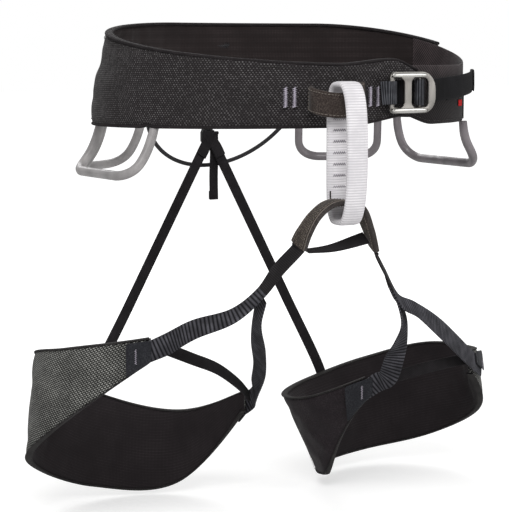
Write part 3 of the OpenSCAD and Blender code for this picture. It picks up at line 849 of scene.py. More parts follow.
def tag():
    low, high = (np.array(c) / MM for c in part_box("side_tag"))
    outline = pad_outline(high[2] - low[2], 0.9, 5, 2)
    rings = [[belt_point(mix(49.2, 54.8, f), mix(low[2], high[2], v), -BELT_THICK + 0.5 + d * pinch(int(f * 8), 9, 1))
              for v, d in outline] for f in np.linspace(0, 1, 9)]
    piece = rings_mesh("side_tag_label", rings, np.linspace(0, 8, 9), np.linspace(0, 12, len(outline) + 1),
                       ["red_tag"])
    place(piece, "waistbelt", "red_tag", "side_tag")


def waist_tacks():
    parts = []
    for t in (-22.8, -20.3, 1.9, 4.3):
        out = belt_out(t)
        along = np.array([-out[1], out[0], 0])
        parts.append(bar_tack(f"tack_{t}", belt_point(t, -3, 0.5), along, UP, out,
                              4.0, 15.5, "bar_tack_thread", 0.8, 0.6))
    place(joined("waist_bar_tacks_thread", parts), "waistbelt", "bar_tack_thread", "waist_bar_tacks")


def rear_patch():
    """Dense stitching on the lining, where the riser cord is sewn in."""
    t = -177.6
    out = -belt_out(t)
    along = np.array([-out[1], out[0], 0])
    piece = bar_tack("rear_patch_stitching", belt_point(t, 38.5, -BELT_THICK - 0.1), UP, along, out,
                     5, 16, "black_cord", 0.9, 0.6)
    place(piece, "waistbelt", "edge_tape")


# ---- Buckle and waist strap ----

BUCKLE_T = 13.2
BUCKLE_TURN = radians(8)
BUCKLE_XY = belt_xy(BUCKLE_T, 9)


def buckle_point(u, w, z):
    """u along the buckle to the wearer's left, w away from the wearer."""
    c, s = cos(BUCKLE_TURN), sin(BUCKLE_TURN)
    return np.array([BUCKLE_XY[0] + u * c + w * s, BUCKLE_XY[1] + u * s - w * c, z])


def at_buckle(*places):
    return [buckle_point(u, w, 0) for u, w in places]


def rounded(corners, steps=8):
    """Outline through corners (x, y, radius), each rounded."""
    out = []
    for i, (_, _, r) in enumerate(corners):
        a, b, c = (np.array(corners[(i + k) % len(corners)][:2], float) for k in (-1, 0, 1))
        if r <= 0:
            out.append(b)
            continue
        p, q = unit(a - b), unit(c - b)
        half = acos(max(-1, min(1, float(p @ q)))) / 2
        reach = r / tan(half)
        centre = b + unit(p + q) * (r / sin(half))
        start, end = b + p * reach - centre, b + q * reach - centre
        a0 = atan2(start[1], start[0])
        turn = (atan2(end[1], end[0]) - a0 + pi) % (2 * pi) - pi
        out += [centre + r * np.array([cos(a0 + turn * k / steps), sin(a0 + turn * k / steps)])
                for k in range(steps + 1)]
    return np.array(out)


def plate(name, outlines, thick, bevel, to_frame, look):
    """Flat plate with rounded edges from 2-D outlines; the second and later ones are holes."""
    shape = bpy.data.curves.new(name, "CURVE")
    shape.dimensions = "2D"
    shape.fill_mode = "BOTH"
    shape.extrude = (thick / 2 - bevel) * MM
    shape.bevel_depth = bevel * MM
    shape.bevel_resolution = 3
    shape.offset = -bevel * MM
    for outline in outlines:
        spline = shape.splines.new("POLY")
        spline.points.add(len(outline) - 1)
        for point, xy in zip(spline.points, outline):
            point.co = (xy[0] * MM, xy[1] * MM, 0, 1)
        spline.use_cyclic_u = True
    holder = link(name, shape)
    bpy.context.view_layer.update()
    flat = bpy.data.meshes.new_from_object(holder.evaluated_get(bpy.context.evaluated_depsgraph_get()))
    bpy.data.objects.remove(holder)
    co = np.zeros(len(flat.vertices) * 3)
    flat.vertices.foreach_get("co", co)
    co = co.reshape(-1, 3) / MM
    moved = np.array([to_frame(*p) for p in co]) * MM
    flat.vertices.foreach_set("co", moved.ravel())
    flat.materials.clear()
    flat.materials.append(LOOKS[look])
    if not flat.uv_layers:
        flat.uv_layers.new(name="UVMap")
    flat.polygons.foreach_set("use_smooth", [True] * len(flat.polygons))
    piece = link(name, flat)
    weld = piece.modifiers.new("weld", "WELD")
    weld.merge_threshold = 0.00001
    split = piece.modifiers.new("corners", "EDGE_SPLIT")
    split.split_angle = radians(40)
    return piece


def bar(name, a, b, radii, look):
    """Round bar between two places that swells to its middle and has domed ends."""
    line, r = [], []
    for f in np.linspace(0, 1, 25):
        line.append(mix(a, b, (1 - cos(pi * f)) / 2))
        r.append(mix(radii[0], radii[1], sin(pi * f) ** 0.35) * max(sin(pi * f) ** 0.28, 0.05))
    return tube(name, line, r, look, 20)


def buckle():
    """D frame, and the front frame whose polished bars grip the strap."""
    outer = rounded([(-24, -17, 6), (27, -17, 13), (27, 17, 15), (-24, 17, 6)])
    window = rounded([(-20.5, -12, 2), (-20.5, 12, 2), (18.6, 12, 4.5), (18.6, -12, 3.5)])
    back = plate("buckle_back", [outer, window], 3.0, 0.7, lambda x, y, z: buckle_point(x, z, y), "buckle_satin")
    bars = [bar(f"buckle_bar_{u}", buckle_point(u, 0, -12.4), buckle_point(u, 0, 12.4), (1.6, 1.8), "buckle_satin")
            for u in (-20, 9)]
    place(back, "waistbelt", "buckle_satin", "buckle_back_frame")
    place(joined("buckle_bars", bars), "waistbelt", "buckle_satin")
    web = rounded([(-17, -13.6, 0.5), (1, -13.6, 0.5), (-3.6, -9.5, 3.5), (-3.6, 9.5, 3.5),
                   (1, 13.6, 0.5), (-17, 13.6, 0.5), (-11.4, 9.5, 3.5), (-11.4, -9.5, 3.5)])
    middle = plate("buckle_middle_bar", [web], 2.4, 0.6, lambda x, y, z: buckle_point(x, 4 + z, y), "buckle_satin")
    lips = [bar(f"buckle_lip_{s}", buckle_point(-24, 4, s * 14.3), buckle_point(14, 4, s * 14.3), (1.4, 2.2),
                "buckle_polished") for s in (-1, 1)]
    place(middle, "buckle_frame", "buckle_satin", "buckle_front_frame")
    place(joined("buckle_lips", lips), "buckle_frame", "buckle_polished")


def buckle_webbing():
    path = Path([belt_point(3, -1, 1.9)] + at_buckle((-27.5, 0.4), (-24, 3), (-20, 3.1), (-16.9, 0), (-20, -3.1),
                                                 (-26, -3.4)), UP, 0.35)
    path.trim(5.5, path.length)
    place(strap("buckle_anchor", path, WEB_W, 1.2, "buckle_webbing", 0.25, 1.9),
          "waistbelt", "ribbed_webbing", "buckle_anchor_webbing")
    path = Path(at_buckle((19, -4.6), (12.5, -3.9), (7.3, -2.5), (6, 0.3), (8, 2.9), (11, 2.6), (12.9, 1.2)),
                UP, 0.35)
    turn = strap("strap_turn", path, WEB_W + 2.6, 1.1, "buckle_webbing", 0.25, 1.9)
    path = Path(at_buckle((-17, -4.4), (-4, -4.2), (7, -4.4)), UP, 0.5)
    back = strap("strap_behind", path, WEB_W + 1, 1.0, "black_webbing", 0.2, 2.2)
    place(joined("buckle_strap_turn", [turn, back]), "waistbelt", "black_webbing")


STRAP_AXIS = np.array([2.5, 74.7, 4.5])
STRAP_R = 206
STRAP_CLIMB = radians(3)
STRAP_LEAN = np.array([sin(radians(38)), -cos(radians(38)), 0])


def strap_point(angle, r, z):
    """Point of the waist strap's own arc: angle about its leaning axis, radius and height."""
    a = radians(angle)
    p = np.array([r * cos(a), r * sin(a), z])
    k = STRAP_LEAN
    c, s = cos(STRAP_CLIMB), sin(STRAP_CLIMB)
    return STRAP_AXIS + p * c + np.cross(k, p) * s + k * (k @ p) * (1 - c)


def arc_strap(name, start, end, r, look, fold, drop=0.0):
    """Strap on the arc from angle start to end; its free end turns back on itself for fold degrees."""
    mid = r + WEB_T / 2
    line = [strap_point(a, mid, -drop) for a in np.linspace(start, end, 30)]
    if fold:
        line += [strap_point(end + degrees(0.9 * cos(g) / r), mid + 0.9 + 0.9 * sin(g), 0)
                 for g in np.linspace(-1.2, 1.5, 8)]
        line += [strap_point(end - a, mid + 1.8, 0) for a in np.linspace(0.2, fold, 6)]
    path = Path(line, UP, 0.4)
    path.side[:] = strap_point(start, r, 1) - strap_point(start, r, 0)
    path.face = np.cross(path.along, path.side)
    return strap(name, path, WEB_W, WEB_T, look, 0.22, 2.2)


def waist_straps():
    place(arc_strap("waist_strap_standing", -60, -46, STRAP_R - 4.5, "black_webbing", 0, 1.5),
          "waistbelt", "black_webbing", "waist_strap")
    place(arc_strap("waist_strap_free_end", -70.5, -33, STRAP_R, "black_webbing", 3.4),
          "strap_tail", "black_webbing", "waist_strap_tail")


# ---- Tie-in points and belay loop ----

def tie_path():
    return [belt_point(-16, -3, 2.2), [-51, -135, -5], [-47.5, -147.8, -7.5], [-40, -151.9, -8.5],
            [BELAY_X, -152.4, -8.5], [-24, -151.9, -8], [-16.5, -148.2, -6], [-12, -137, -2],
            belt_point(0, 0, 2.2)]


def edge_stitches(name, path, width, thick, look, start, end, inset=2.0, radius=0.3):
    spots = []
    for side in (-1, 1):
        for face in (-1, 1):
            def point(s, side=side, face=face):
                return path.at(s, side * (width / 2 - inset), face * (thick / 2 + 0.05)), face * path.out(s)
            spots += line_of_stitches(point, start, end, 2.6, 0.9)
    return stitches(name, spots, look, radius)


def upper_tie_in():
    path = Path(tie_path(), UP, 0.8)
    place(strap("upper_tie_in_web", path, WEB_W - 1, 1.8, "tie_in_webbing", 0.15, 1.6),
          "waistbelt", "tie_in_webbing", "upper_tie_in_loop")
    cover = Path(tie_path(), UP, 0.8).trim(0.022 * path.length, 0.945 * path.length)
    piece = strap("upper_tie_in_cover", cover, WEB_W + 1, 3.8, "tie_in_sleeve")
    pucker(piece, 0.12, 9)
    place(piece, "waistbelt", "tie_in_sleeve", "upper_tie_in_sleeve")
    rows = [edge_stitches("tie_in_rows", cover, WEB_W + 1, 3.8, "brown_thread", 1.5, cover.length - 1, radius=0.34)]
    ends = [(cover.at(3, x, face * 1.95), cover.at(3, x + 1.9, face * 1.95), face * cover.out(3))
            for face in (-1, 1) for x in np.arange(-8, 6, 2.8)]
    rows.append(stitches("tie_in_end_row", ends, "brown_thread", 0.34))
    place(joined("upper_tie_in_stitching", rows), "waistbelt", "tie_in_sleeve")


LOW_PATH = [TIE_R, [-67, -149, -108], [-60, -153, -95], [-48, -155, -86], [BELAY_X - 1, -155.5, -85.5],
            [-20, -155, -90.5], [-9, -151, -107], TIE_L]
LOW_WIDE = [[-0.3, 0.9, 0.3], [-0.1, 1, 0.1], [0, 1, 0], [0, 1, 0],
            [0, 1, 0], [0, 1, 0], [0.1, 1, 0.1], [0.2, 0.9, 0.3]]


def lower_tie_in():
    path = Path(LOW_PATH, LOW_WIDE, 0.8)
    place(strap("lower_tie_in_web", path, 13.6, 2.1, "tie_in_webbing", 0.15, 1.6),
          "waistbelt", "tie_in_webbing", "lower_tie_in_loop")
    cover = Path(LOW_PATH, LOW_WIDE, 0.8).trim(2.2, path.length - 2.2)
    piece = strap("lower_tie_in_cover", cover, 15.4, 4.6, "low_sleeve")
    pucker(piece, 0.12, 7)
    place(piece, "waistbelt", "tie_in_sleeve", "lower_tie_in_sleeve")
    place(edge_stitches("lower_tie_in_stitching", cover, 15.4, 4.6, "brown_thread", 1, cover.length - 1, 2.2, 0.3),
          "waistbelt", "tie_in_sleeve")
    # Smooth facing on the sleeve's two edges, with a light line of painted highlight along the fold on each corner
    for side in (-1, 1):
        steps = np.linspace(0.4, cover.length - 0.4, 120)
        facing = [[cover.at(q, side * (7.25 + 0.9 * cos(a)), 2.15 * sin(a))
                   for a in np.linspace(0, 2 * pi, 14, endpoint=False)] for q in steps]
        edge = rings_mesh(f"lower_tie_in_facing_{side}", facing, steps, np.linspace(0, 9, 15), ["sleeve_edge"])
        line = tube(f"fold_highlight_{side}", [cover.at(q, side * 7.5, 1.95) for q in steps], 0.3, "brown_thread", 8)
        place(joined(f"lower_tie_in_edge_{side}", [edge, line]), "waistbelt", "tie_in_sleeve")


def cross_strap():
    path = Path([[-62, -144, -123.4], [-38, -145, -122], [-7.5, -146, -115.4]],
                [[0.1, 1, 0.2], [0.1, 1, 0.5], [0, 0.9, 0.9]], 0.5)
    place(strap("tie_in_cross_strap", path, 12, 1.5, "elastic", 0.15, 1.0,
                lambda s: mix(0.78, 1.0, ease(0, path.length, s))), "waistbelt", "elastic", "leg_cross_strap")


BELAY_Y = -155.5
BELAY_H = 113
BELAY_DEPTH = 34
BELAY_T = 4
BELAY_Z = 10 - BELAY_H / 2
BELAY_W = 19
BELAY_PITCH = 2.1


def belay_line(angle):
    """Middle line of the belay loop: the front strand bows and the rear one hangs straight."""
    half_y = (BELAY_DEPTH - BELAY_T) / 2
    half_z = (BELAY_H - BELAY_T) / 2
    c, s = cos(angle), sin(angle)
    power = 4.5 if c > 0 else (2.5 if s < 0 else 2.6)
    scale = (abs(c) ** power + abs(s) ** power) ** (-1 / power)
    return np.array([BELAY_X, BELAY_Y + half_y * c * scale, BELAY_Z + half_z * s * scale])


def belay_loop():
    angles = np.linspace(0, 2 * pi, 1201)
    line = np.array([belay_line(a) for a in angles])
    far = lengths(line)
    ribs = round(far[-1] / BELAY_PITCH)
    pitch = far[-1] / ribs
    n = ribs * 6
    s_at = np.linspace(0, far[-1], n, endpoint=False)
    p = np.stack([np.interp(s_at, far, line[:, k]) for k in range(3)], axis=1)
    along = units(np.roll(p, -1, axis=0) - np.roll(p, 1, axis=0))
    out = np.cross(along, [1, 0, 0])
    profile = flat_profile(BELAY_W, BELAY_T, 10, 4)
    rings = []
    for i in range(n):
        lift = 0.3 * (abs(sin(pi * s_at[i] / pitch)) ** 0.7 - 1)
        rings.append([p[i] + np.array([x, 0, 0]) + out[i] * (y + copysign(lift * share, y))
                      for x, y, share in profile])
    across = [x for x, _, _ in profile + profile[:1]]
    u = np.append(s_at, far[-1]) * (BELAY_PITCH / pitch)
    piece = rings_mesh("belay_loop_webbing", rings, u, across, ["belay_webbing"], closed=True)
    place(piece, "belay_loop", "belay_webbing", "belay_loop")
    rear_in = BELAY_Y + BELAY_DEPTH / 2 - BELAY_T
    rear_out = BELAY_Y + BELAY_DEPTH / 2
    parts = []
    for k in range(7):
        z = BELAY_Z + 27 - 9 * k
        for y, way in ((rear_in, -1), (rear_out, 1)):
            parts.append(bar_tack(f"belay_tack_{k}_{way}", np.array([BELAY_X + 1, y + way * 0.05, z]), UP,
                                  np.array([1, 0, 0]), np.array([0, way, 0]), 1.9, 11, "grey_stitch", 0.9, 0.3))
    place(joined("belay_loop_tacks", parts), "belay_loop", "grey_stitch", "belay_loop_stitching")
    z = BELAY_Z - 36
    y = rear_in - 0.9
    path = Path([[BELAY_X, y, z + 6], [BELAY_X, y, z], [BELAY_X, y, z - 3.6]], [1, 0, 0], 0.4)
    place(strap("belay_loop_end", path, 16, 1.4, "belay_webbing", 0.2, 2.1), "belay_loop", "belay_webbing")
    # A thin dark brown line round the end's lower edge and corners is painted shadow under the folded end.
    rim = [[BELAY_X + x, y - 0.5, z + h] for x, h in rounded([(-8, 6, 0), (-8, -3.8, 3), (8, -3.8, 3), (8, 6, 0)], 6)]
    place(tube("belay_loop_end_shadow_line", rim, 0.62, "sleeve_edge", 8), "belay_loop", "grey_stitch")


# ---- Gear loops, haul loop and riser hook ----

GEAR = {
    "right_front": (-117, -64, 36), "right_rear": (-148, -121.5, 36),
    "left_front": (57, 118, 24), "left_rear": (126, 154, 24),
}
LOOP_Z = BELT_BOTTOM - 0.3 - 1.2 - 0.3 - 4
GEAR_R = 4
GEAR_DROP = 37
GEAR_CORNER = 20
GEAR_SEWN = 6.8
TONGUE_STEP = 4.2  # the front left loop's inner end is sewn to the tongue, this far behind the belt


def hanger(a, b, lean, z):
    """Frame of a loop that hangs under the belt between angles a and b, as a function of (x, depth, z)."""
    p, q = belt_xy(a, -BELT_THICK / 2), belt_xy(b, -BELT_THICK / 2)
    mid = (p + q) / 2
    along = np.array([*unit(q - p), 0])
    out = np.array([along[1], -along[0], 0])
    t = radians(lean)
    down = np.array([0, 0, -cos(t)]) + out * sin(t)
    front = out * cos(t) + np.array([0, 0, sin(t)])
    origin = np.array([mid[0], mid[1], z])
    return (lambda x, w, h: origin + along * x + front * w - down * h), float(np.linalg.norm(q - p)) / 2


def gear_loops():
    """Moulded bars with flat sewn-in ends; they hang straight before they flare out at the bottom."""
    for name, (a, b, lean) in GEAR.items():
        at, half = hanger(a, b, lean, LOOP_Z)
        tilt = radians(lean)
        depth = GEAR_DROP / cos(tilt) - GEAR_R
        leg = depth - GEAR_CORNER
        line = [(-half, h) for h in np.linspace(GEAR_SEWN, -leg + 2, 12)]
        for x0, first in ((GEAR_CORNER - half, 180), (half - GEAR_CORNER, 270)):
            for k in range(15):
                g = radians(first + 90 * k / 14)
                line.append((x0 + GEAR_CORNER * cos(g), -leg + GEAR_CORNER * sin(g)))
        line += [(half, h) for h in np.linspace(-leg + 2, GEAR_SEWN, 12)]
        flat = at(0, cos(tilt), sin(tilt)) - at(0, 0, 0)
        p = []
        for x, h in line:
            q = min(max(-h / depth, 0), 1)
            sway = depth * sin(tilt) * (q ** 1.9 - q)
            rise = max(h, 0) * sin(tilt)
            on_tongue = TONGUE_STEP * ease(-30, 4, h) if name == "left_front" and x < 0 else 0
            p.append(at(x, 0, h) + flat * (sway + rise - on_tongue))
        p = np.array(p)
        along = units(np.gradient(p, axis=0))
        far = lengths(p)
        rings = []
        for i in range(len(p)):
            face = unit(flat - along[i] * (flat @ along[i]))
            out = np.cross(along[i], face)
            foot = min(far[i], far[-1] - far[i])
            thin = mix(0.85, 1.0, ease(0, 12, foot))
            wide = mix(1.05, 1.0, ease(0, 12, foot))
            ring = []
            for k in range(24):
                g = 2 * pi * k / 24
                x = signed(cos(g), 0.85) * (GEAR_R * 0.92 * wide)
                y = signed(sin(g), 0.85) * (GEAR_R * 0.97 * thin + (0.12 if k in (6, 18) else 0))
                ring.append(p[i] + out * x + face * y)
            rings.append(ring)
        # The left loops take the painted-shade copy of the loop plastic, the right ones the lit copy.
        piece = rings_mesh(f"gear_loop_moulding_{name}", rings, far, np.linspace(0, 25, 25),
                           ["loop_plastic" if "right" in name else "loop_plastic_shaded"])
        subdivide(piece)
        place(piece, f"gear_loop_{name}", "loop_plastic", f"gear_loop_{name}")


def haul_loop():
    at, half = hanger(158, 208.5, 32, LOOP_Z + 2)
    sag = 49
    big = (half * half + sag * sag) / (2 * sag)
    opening = asin(half / big)
    line = []
    for k in range(97):
        g = radians(270) + mix(-opening, opening, k / 96)
        line.append(at(big * cos(g), 0, big - sag + big * sin(g)))
    place(tube("haul_cord", line, 1.9, "black_cord", 14), "haul_loop", "black_cord", "haul_loop")


def riser_hook():
    outer = rounded([(-6.5, -50, 1.2), (6.5, -50, 1.2), (6.5, -41, 1.5), (4, -35.6, 3), (-4, -35.6, 3),
                     (-6.5, -41, 1.5)])
    slot = rounded([(-4.5, -48, 0.6), (-4.5, -44.4, 0.6), (4.5, -44.4, 0.6), (4.5, -48, 0.6)], 4)
    eye = rounded([(-1.9, -40.7, 1.8), (-1.9, -36.9, 1.8), (1.9, -36.9, 1.8), (1.9, -40.7, 1.8)], 6)
    piece = plate("riser_hook_plate", [outer, slot, eye], 3.4, 0.6,
                  lambda x, y, z: np.array([HOOK[0] + x, HOOK[1] - z, y]), "hook_plastic")
    place(piece, "waistbelt", "hook_plastic", "riser_hook")
    ring = [[HOOK[0], HOOK[1] + 4.4 * cos(a), -34.4 + 4.4 * sin(a)]
            for a in np.linspace(0, 2 * pi, 36, endpoint=False)]
    place(tube("riser_cord", ring, 1.1, "black_cord", 10, closed=True, up=(1, 0, 0)),
          "waistbelt", "black_cord", "riser_cord_loop")
    y = HOOK[1] + 3.6
    path = Path([[0, y, -42], [0.4, y, -60], [-0.3, y, -82], [0, y, -104]], [1, 0, 0], 0.5)
    tab = strap("pull_tab_strap", path, 9, 1.6, "elastic", 0.15, 1.0)
    fold = Path([[0, y + 1.7, -103.6], [0, y + 1.7, -96]], [1, 0, 0], 0.5)
    parts = [tab, strap("pull_tab_fold", fold, 9, 1.4, "elastic", 0.15, 1.0),
             tube("pull_tab_top", [[x, y, -42] for x in np.linspace(-4.5, 4.5, 8)], 1.6, "elastic", 12)]
    place(joined("pull_tab_webbing", parts), "pull_tab", "elastic", "riser_pull_tab")


# ---- Leg loops ----

STRAP_D = 2.4
TAB_D = 5.1
LEG_ROUND = 84
LEG_PLAIN = 44  # smooth length at the top of a front strap
LEG_PITCH = 3.4
STRAP_TACKS = (38, 51)
SMOOTH_FROM = 0.66  # where the outer mesh gives way to smooth cloth
# Points and widthways directions of the straps, between their ends
FRONT = {
    "right": ([TIE_R + [-1.5, 0.6, -2.2], [-83.5, -136, -138], [-96, -129, -157], [-116, -120, -174.5],
               [-141, -101, -186]],
              [[0.04, 0.95, 0.32], [0.04, 0.95, 0.32], [0.16, 0.95, 0.27], [0.19, 0.83, 0.51], [0.07, 0.58, 0.81]]),
    "left": ([TIE_L + [1.4, 0.8, -2.2], [20, -135, -148], [40, -126, -172], [64, -117, -183], [104, -96, -205]],
             [[0.26, 0.78, 0.57], [0.26, 0.78, 0.57], [0.26, 0.77, 0.58], [0.25, 0.68, 0.69], [0.25, 0.3, 0.89]]),
}
INNER = {
    "right": ([[-92, -126, -160], [-89, -113, -180], [-72, -85, -207], [-46, -42, -235], [-33.5, -13, -256]],
              [[0.1, 0.86, 0.5], [0.05, 0.75, 0.6], [-0.4, 0.69, 0.58], [-0.3, 0.65, 0.68], [-0.1, 0.45, 0.88]]),
    "left": ([[50, -117, -190], [56, -105, -208], [61, -88, -229], [63, -75, -247]],
             [[0.60, 0.56, 0.55], [0.88, 0.12, 0.43], [0.9, -0.38, -0.16], [0.64, -0.6, -0.48]]),
}
ELASTIC = {"right": [[-122, -62, -216.5], [-90, -48, -230], [-58, -26, -249]], "left": [[115, -64, -244]]}


def leg_pad(leg):
    n = 130
    faces = 15
    shrink = 0.7
    outline = pad_outline(62, LEG_THICK - 2 * shrink, faces)
    rings, us, vs, pins = [], [], [], []
    for i in range(n):
        f = i / (n - 1)
        low, high = pad_point(leg, f, 0, 0)[2], pad_point(leg, f, 1, 0)[2]
        thin = pinch(i, n, 3)
        ring = []
        for v, d in outline:
            depth = -LEG_THICK / 2 + (d - shrink + LEG_THICK / 2) * thin
            ring.append(pad_point(leg, f, v, depth))
            pins.append(1.0 if v < 0.06 or v > 0.94 or i < 3 or i > n - 4 else 0.0)
        rings.append(ring)
        us.append(f * radians(PADS[leg]["span"]) * LEG_ROUND)
        vs.append([(v - 0.5) * (high - low) for v, _ in outline + outline[:1]])

    def look(i, j):
        if j < faces + 2 or j > 2 * faces + 7:
            return 0 if i / n < SMOOTH_FROM else 1
        return 2

    piece = rings_mesh(f"{leg}_leg_pad", rings, us, vs, ["leg_outer_mesh", "leg_smooth", "leg_inner"], face_look=look)
    swell(piece, pins, 4.0, 1.4, 0.01)
    pucker(piece, 0.3, 16)
    subdivide(piece)
    body = f"{leg}_leg_loop"
    place(piece, body, "leg_outer_mesh", f"{leg}_leg_outer_shell", f"{leg}_leg_foam", f"{leg}_leg_liner")
    edges = []
    for v in (0.0, 1.0):
        line = [pad_point(leg, f, v, -LEG_THICK / 2) for f in np.linspace(0.004, 0.996, 150)]
        wide = [pad_out(leg, f, v) for f in np.linspace(0.004, 0.996, 150)]
        rings = [[p + w * out + np.array([0, 0, lift]) for out, lift in soft_oval(14, LEG_THICK / 2 - 0.1, 0.95)]
                 for p, w in zip(line, wide)]
        edges.append(rings_mesh(f"{leg}_edge_{v}", rings, np.linspace(0, 340, 150), np.linspace(0, 20, 15),
                                ["leg_edge"]))
    place(joined(f"{leg}_leg_edges", edges), body, "edge_tape", f"{leg}_leg_binding")
    seam = [pad_point(leg, SMOOTH_FROM, v, 0.1) for v in np.linspace(0.03, 0.97, 40)]
    across = unit(pad_point(leg, SMOOTH_FROM + 0.02, 0.5, 0) - pad_point(leg, SMOOTH_FROM, 0.5, 0))
    spots = [(seam[k] + across, seam[k + 1] * 0.7 + seam[k] * 0.3 + across, pad_out(leg, SMOOTH_FROM, 0.5))
             for k in range(38)]
    place(stitches(f"{leg}_leg_seam", spots, "brown_thread", 0.25), body, "edge_tape")


def leg_tab(leg, name, f0, f1, v0, v1):
    """Smooth cover over a strap's end on the pad, with rounded corners and a sewn bar."""
    n, m = 16, 14
    side = PADS[leg]["side"]
    thick = 0.8
    height = pad_point(leg, (f0 + f1) / 2, v1, 0)[2] - pad_point(leg, (f0 + f1) / 2, v0, 0)[2]
    rings = []
    for i in range(n + 1):
        a = i / n
        trim = 0.06 * (1 - sqrt(max(0, 1 - (2 * abs(a - 0.5)) ** 8)))
        f = mix(f0, f1, a)
        fronts, backs = [], []
        for j in range(m + 1):
            b = j / m
            v = mix(v0 + trim, v1 - trim, b)
            crown = 0.35 * (1 - (2 * a - 1) ** 4) * (1 - (2 * b - 1) ** 4)
            rim = 0.35 if 0 < i < n and 0 < j < m else 0.0
            fronts.append(pad_point(leg, f, v, TAB_D - 0.35 + rim + crown - 0.2))
            backs.append(pad_point(leg, f, v, TAB_D - thick))
        rings.append(fronts + backs[::-1])
    v_way = list(np.linspace(0, height, m + 1)) + list(np.linspace(height, 0, m + 1)) + [0]
    piece = rings_mesh(name, rings, np.linspace(0, 20, n + 1), v_way, ["tab_synthetic"])
    f_bar = mix(f0, f1, 0.62)
    out = pad_out(leg, f_bar, 0.5)
    up = pad_across(leg, f_bar)
    along = np.cross(up, out) * side
    tack = bar_tack(name + "_tack", pad_point(leg, f_bar, 0.52, TAB_D + 0.1), along, up, out,
                    1.6, height * 0.5, "bar_tack_thread", 0.8, 0.3)
    return piece, tack


def leg_straps(leg):
    body = f"{leg}_leg_loop"
    side = PADS[leg]["side"]
    right = leg == "right"
    points, wide = FRONT[leg]
    ends = [pad_point(leg, -0.02, 0.5, 4.2 if right else 3.4), pad_point(leg, 0.045, 0.5, STRAP_D)]
    tie = TIE_R if right else TIE_L
    front = Path([tie + [0.2, -0.4, 0.6]] + points + ends,
                 [wide[0]] + wide + [pad_across(leg, 0), pad_across(leg, 0.045)], 0.5)
    place(strap(f"{leg}_leg_front_webbing", front, WEB_W - 2, WEB_T, "ribbed_webbing", 0.35, LEG_PITCH, None, LEG_PLAIN),
          body, "ribbed_webbing", f"{leg}_leg_front_strap")
    points, wide = INNER[leg]
    if not right:
        # It starts sewn to the back of the front strap
        where = [np.interp(x, front.p[:, 0], front.s) for x in (24, 31, 38)]
        layer = (WEB_T + 0.1) * copysign(1, front.face[len(front.s) // 4][1])
        points = [front.at(q, 0, layer) for q in where] + points
        wide = [front.across(q) for q in where] + wide
    end, twist = (1.01, 1) if right else (1.02, -1)
    ends = [pad_point(leg, end, 0.5, 2.9 if right else 3.2), pad_point(leg, 0.965, 0.5, STRAP_D)]
    inner = Path(points + ends, wide + [twist * pad_across(leg, 1), twist * pad_across(leg, 0.965)], 0.5)
    place(strap(f"{leg}_leg_inner_webbing", inner, WEB_W - 2, WEB_T, "ribbed_webbing", 0.35, LEG_PITCH),
          body, "ribbed_webbing", f"{leg}_leg_inner_strap")
    points = [pad_point(leg, -0.015, 0.5, -3)] + ELASTIC[leg] + [pad_point(leg, 1.02, 0.5, -3)]
    elastic = Path(points, [[0, 0, 1], [0, 0.1, 1], [0, 0.2, 1]], 0.5)
    place(strap(f"{leg}_leg_elastic_webbing", elastic, RISER_W, 1.3, "elastic", 0.12, 1.0),
          body, "elastic", f"{leg}_leg_elastic")
    tabs = [leg_tab(leg, f"{leg}_outer_tab", 0.003, 0.052, 0.02 if right else 0.42, 0.98),
            leg_tab(leg, f"{leg}_inner_tab", 0.955, 0.99 if right else 1.012, 0.02, 0.98)]
    place(joined(f"{leg}_leg_tabs", [t[0] for t in tabs]), body, "tab_synthetic", f"{leg}_leg_end_tabs")
    sewn = [t[1] for t in tabs]
    for s in STRAP_TACKS if right else ():
        out = front.out(s) * -side
        along = unit(front.at(s + 1, 0, 0) - front.at(s - 1, 0, 0))
        middle = front.at(s, 0, 0) + out * (WEB_T / 2 + 0.2)
        sewn.append(bar_tack(f"{leg}_strap_tack_{s}", middle, along, front.across(s), out,
                             2.2, 10, "bar_tack_thread", 0.8, 0.34))
    place(joined(f"{leg}_leg_tacks", sewn), body, "bar_tack_thread", f"{leg}_leg_bar_tacks")


def riser(leg):
    """The elastic riser, and the black strip that joins it to the hook."""
    side = PADS[leg]["side"]
    f = 0.532 if leg == "left" else 0.606
    top = RISER_TOP + [side * 6 + 2, 0, 0]
    mid = pad_point(leg, f, 1.05, 3)
    down = unit(mid - top)
    front = np.array([0, -1.7, 0])
    path = Path([[HOOK[0] + side * 0.6, 114.9, -39.5], [HOOK[0] + side * 1.4, 115.1, -46], top + front - down * 1,
                 top + front + down * 9], [[1, 0, 0], [1, 0, side * 0.2]] + [[0.84, 0, side * 0.53]] * 2, 0.5)
    place(strap(f"{leg}_riser_yoke", path, RISER_W + 0.6, 1.5, "elastic", 0.1, 1.0), "waistbelt", "elastic")
    low = pad_point(leg, f, 0.8, 2)
    wide = [0.84, 0, side * 0.53]
    path = Path([mix(top, mid, -0.008), mix(top, mid, 0.33), mix(top, mid, 0.67), mid, low],
                [wide] * 4 + [[0.9, 0.2, side * 0.3]], 0.6)
    strip = strap(f"{leg}_riser_webbing", path, RISER_W, 1.3, "elastic", 0.12, 1.0)
    place(strip, f"{leg}_leg_loop", "elastic", f"{leg}_riser")


# ---- Build, stage, light and camera ----

for build in (waist_pad, belt_edges, tongue, tag, waist_tacks, rear_patch, buckle, buckle_webbing, waist_straps,
              upper_tie_in, lower_tie_in, cross_strap, belay_loop, gear_loops, haul_loop, riser_hook):
    build()
for leg_name in PADS:
    for build in (leg_pad, leg_straps, riser):
        build(leg_name)


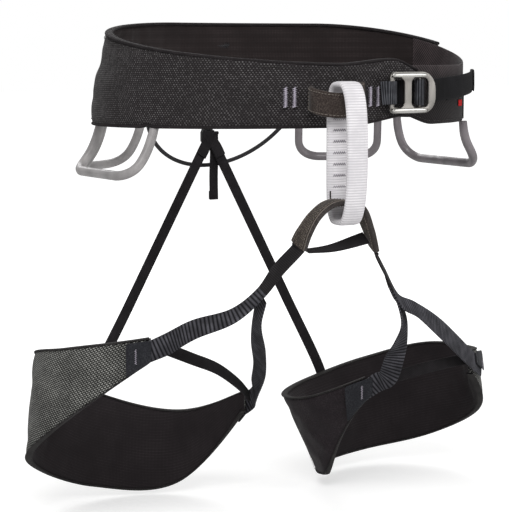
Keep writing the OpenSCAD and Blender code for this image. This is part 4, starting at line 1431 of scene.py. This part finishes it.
def stage():
    """Pale floor under a light sky, with a large soft key, a fill and a rim light."""
    lowest = cad_box[0][2] - 0.004
    look = Shader("studio floor", rough=0.7)
    look.set("Base Color", look.mix(look.cloud(3.0), (0.72, 0.72, 0.72), (0.76, 0.76, 0.755)))
    look.set("Emission Color", (1.0, 1.0, 1.0))
    far = look.node("VectorMath", "Value", {0: look.node("TexCoord", "Object")}, operation="LENGTH")
    look.set("Emission Strength",
             look.node("LightPath", "Is Camera Ray") * look.smooth(far, 0.4, 1.6, 0.45, 0.8))
    data = bpy.data.meshes.new("studio_floor")
    data.from_pydata([(x, y, lowest) for x, y in ((-14, -14), (14, -14), (14, 14), (-14, 14))], [], [(0, 1, 2, 3)])
    data.materials.append(look.material)
    link("studio_floor", data)
    world = bpy.data.worlds.new("studio")
    world.use_nodes = True
    tree = world.node_tree
    back = tree.nodes["Background"]
    back.inputs["Color"].default_value = (1, 1, 1, 1)
    level = tree.nodes.new("ShaderNodeMapRange")
    level.inputs["To Min"].default_value = 0.45
    level.inputs["To Max"].default_value = 1.0
    seen_directly = tree.nodes.new("ShaderNodeLightPath").outputs["Is Camera Ray"]
    tree.links.new(seen_directly, level.inputs["Value"])
    tree.links.new(level.outputs[0], back.inputs["Strength"])
    bpy.context.scene.world = world
    middle = Vector((0, 0, -0.14))
    for name, at, size, power in (("key_light", (-0.9, -1.5, 1.3), 1.0, 26),
                                  ("fill_light", (1.3, -1.2, 0.5), 1.2, 9),
                                  ("rim_light", (0.5, 1.6, 1.1), 1.2, 14)):
        lamp = bpy.data.lights.new(name, "AREA")
        lamp.size = size
        lamp.energy = power
        holder = link(name, lamp)
        holder.location = at
        holder.rotation_euler = (middle - Vector(at)).to_track_quat("-Z", "Y").to_euler()


def camera():
    """The product view: from the wearer's right front, a little above."""
    azimuth, elevation, distance = radians(-30), radians(6.5), 1.6
    target = np.array([-0.0199, 0.0115, -0.145])
    back = np.array([sin(azimuth) * cos(elevation), -cos(azimuth) * cos(elevation),
                     sin(elevation)])
    data = bpy.data.cameras.new("product_view")
    data.sensor_width = 36
    data.lens = 128.25
    holder = link("product_view", data)
    holder.location = Vector(target + back * distance)
    holder.rotation_euler = (-Vector(back)).to_track_quat("-Z", "Y").to_euler()
    bpy.context.scene.camera = holder


stage()
camera()
bpy.context.scene.view_settings.view_transform = "Standard"
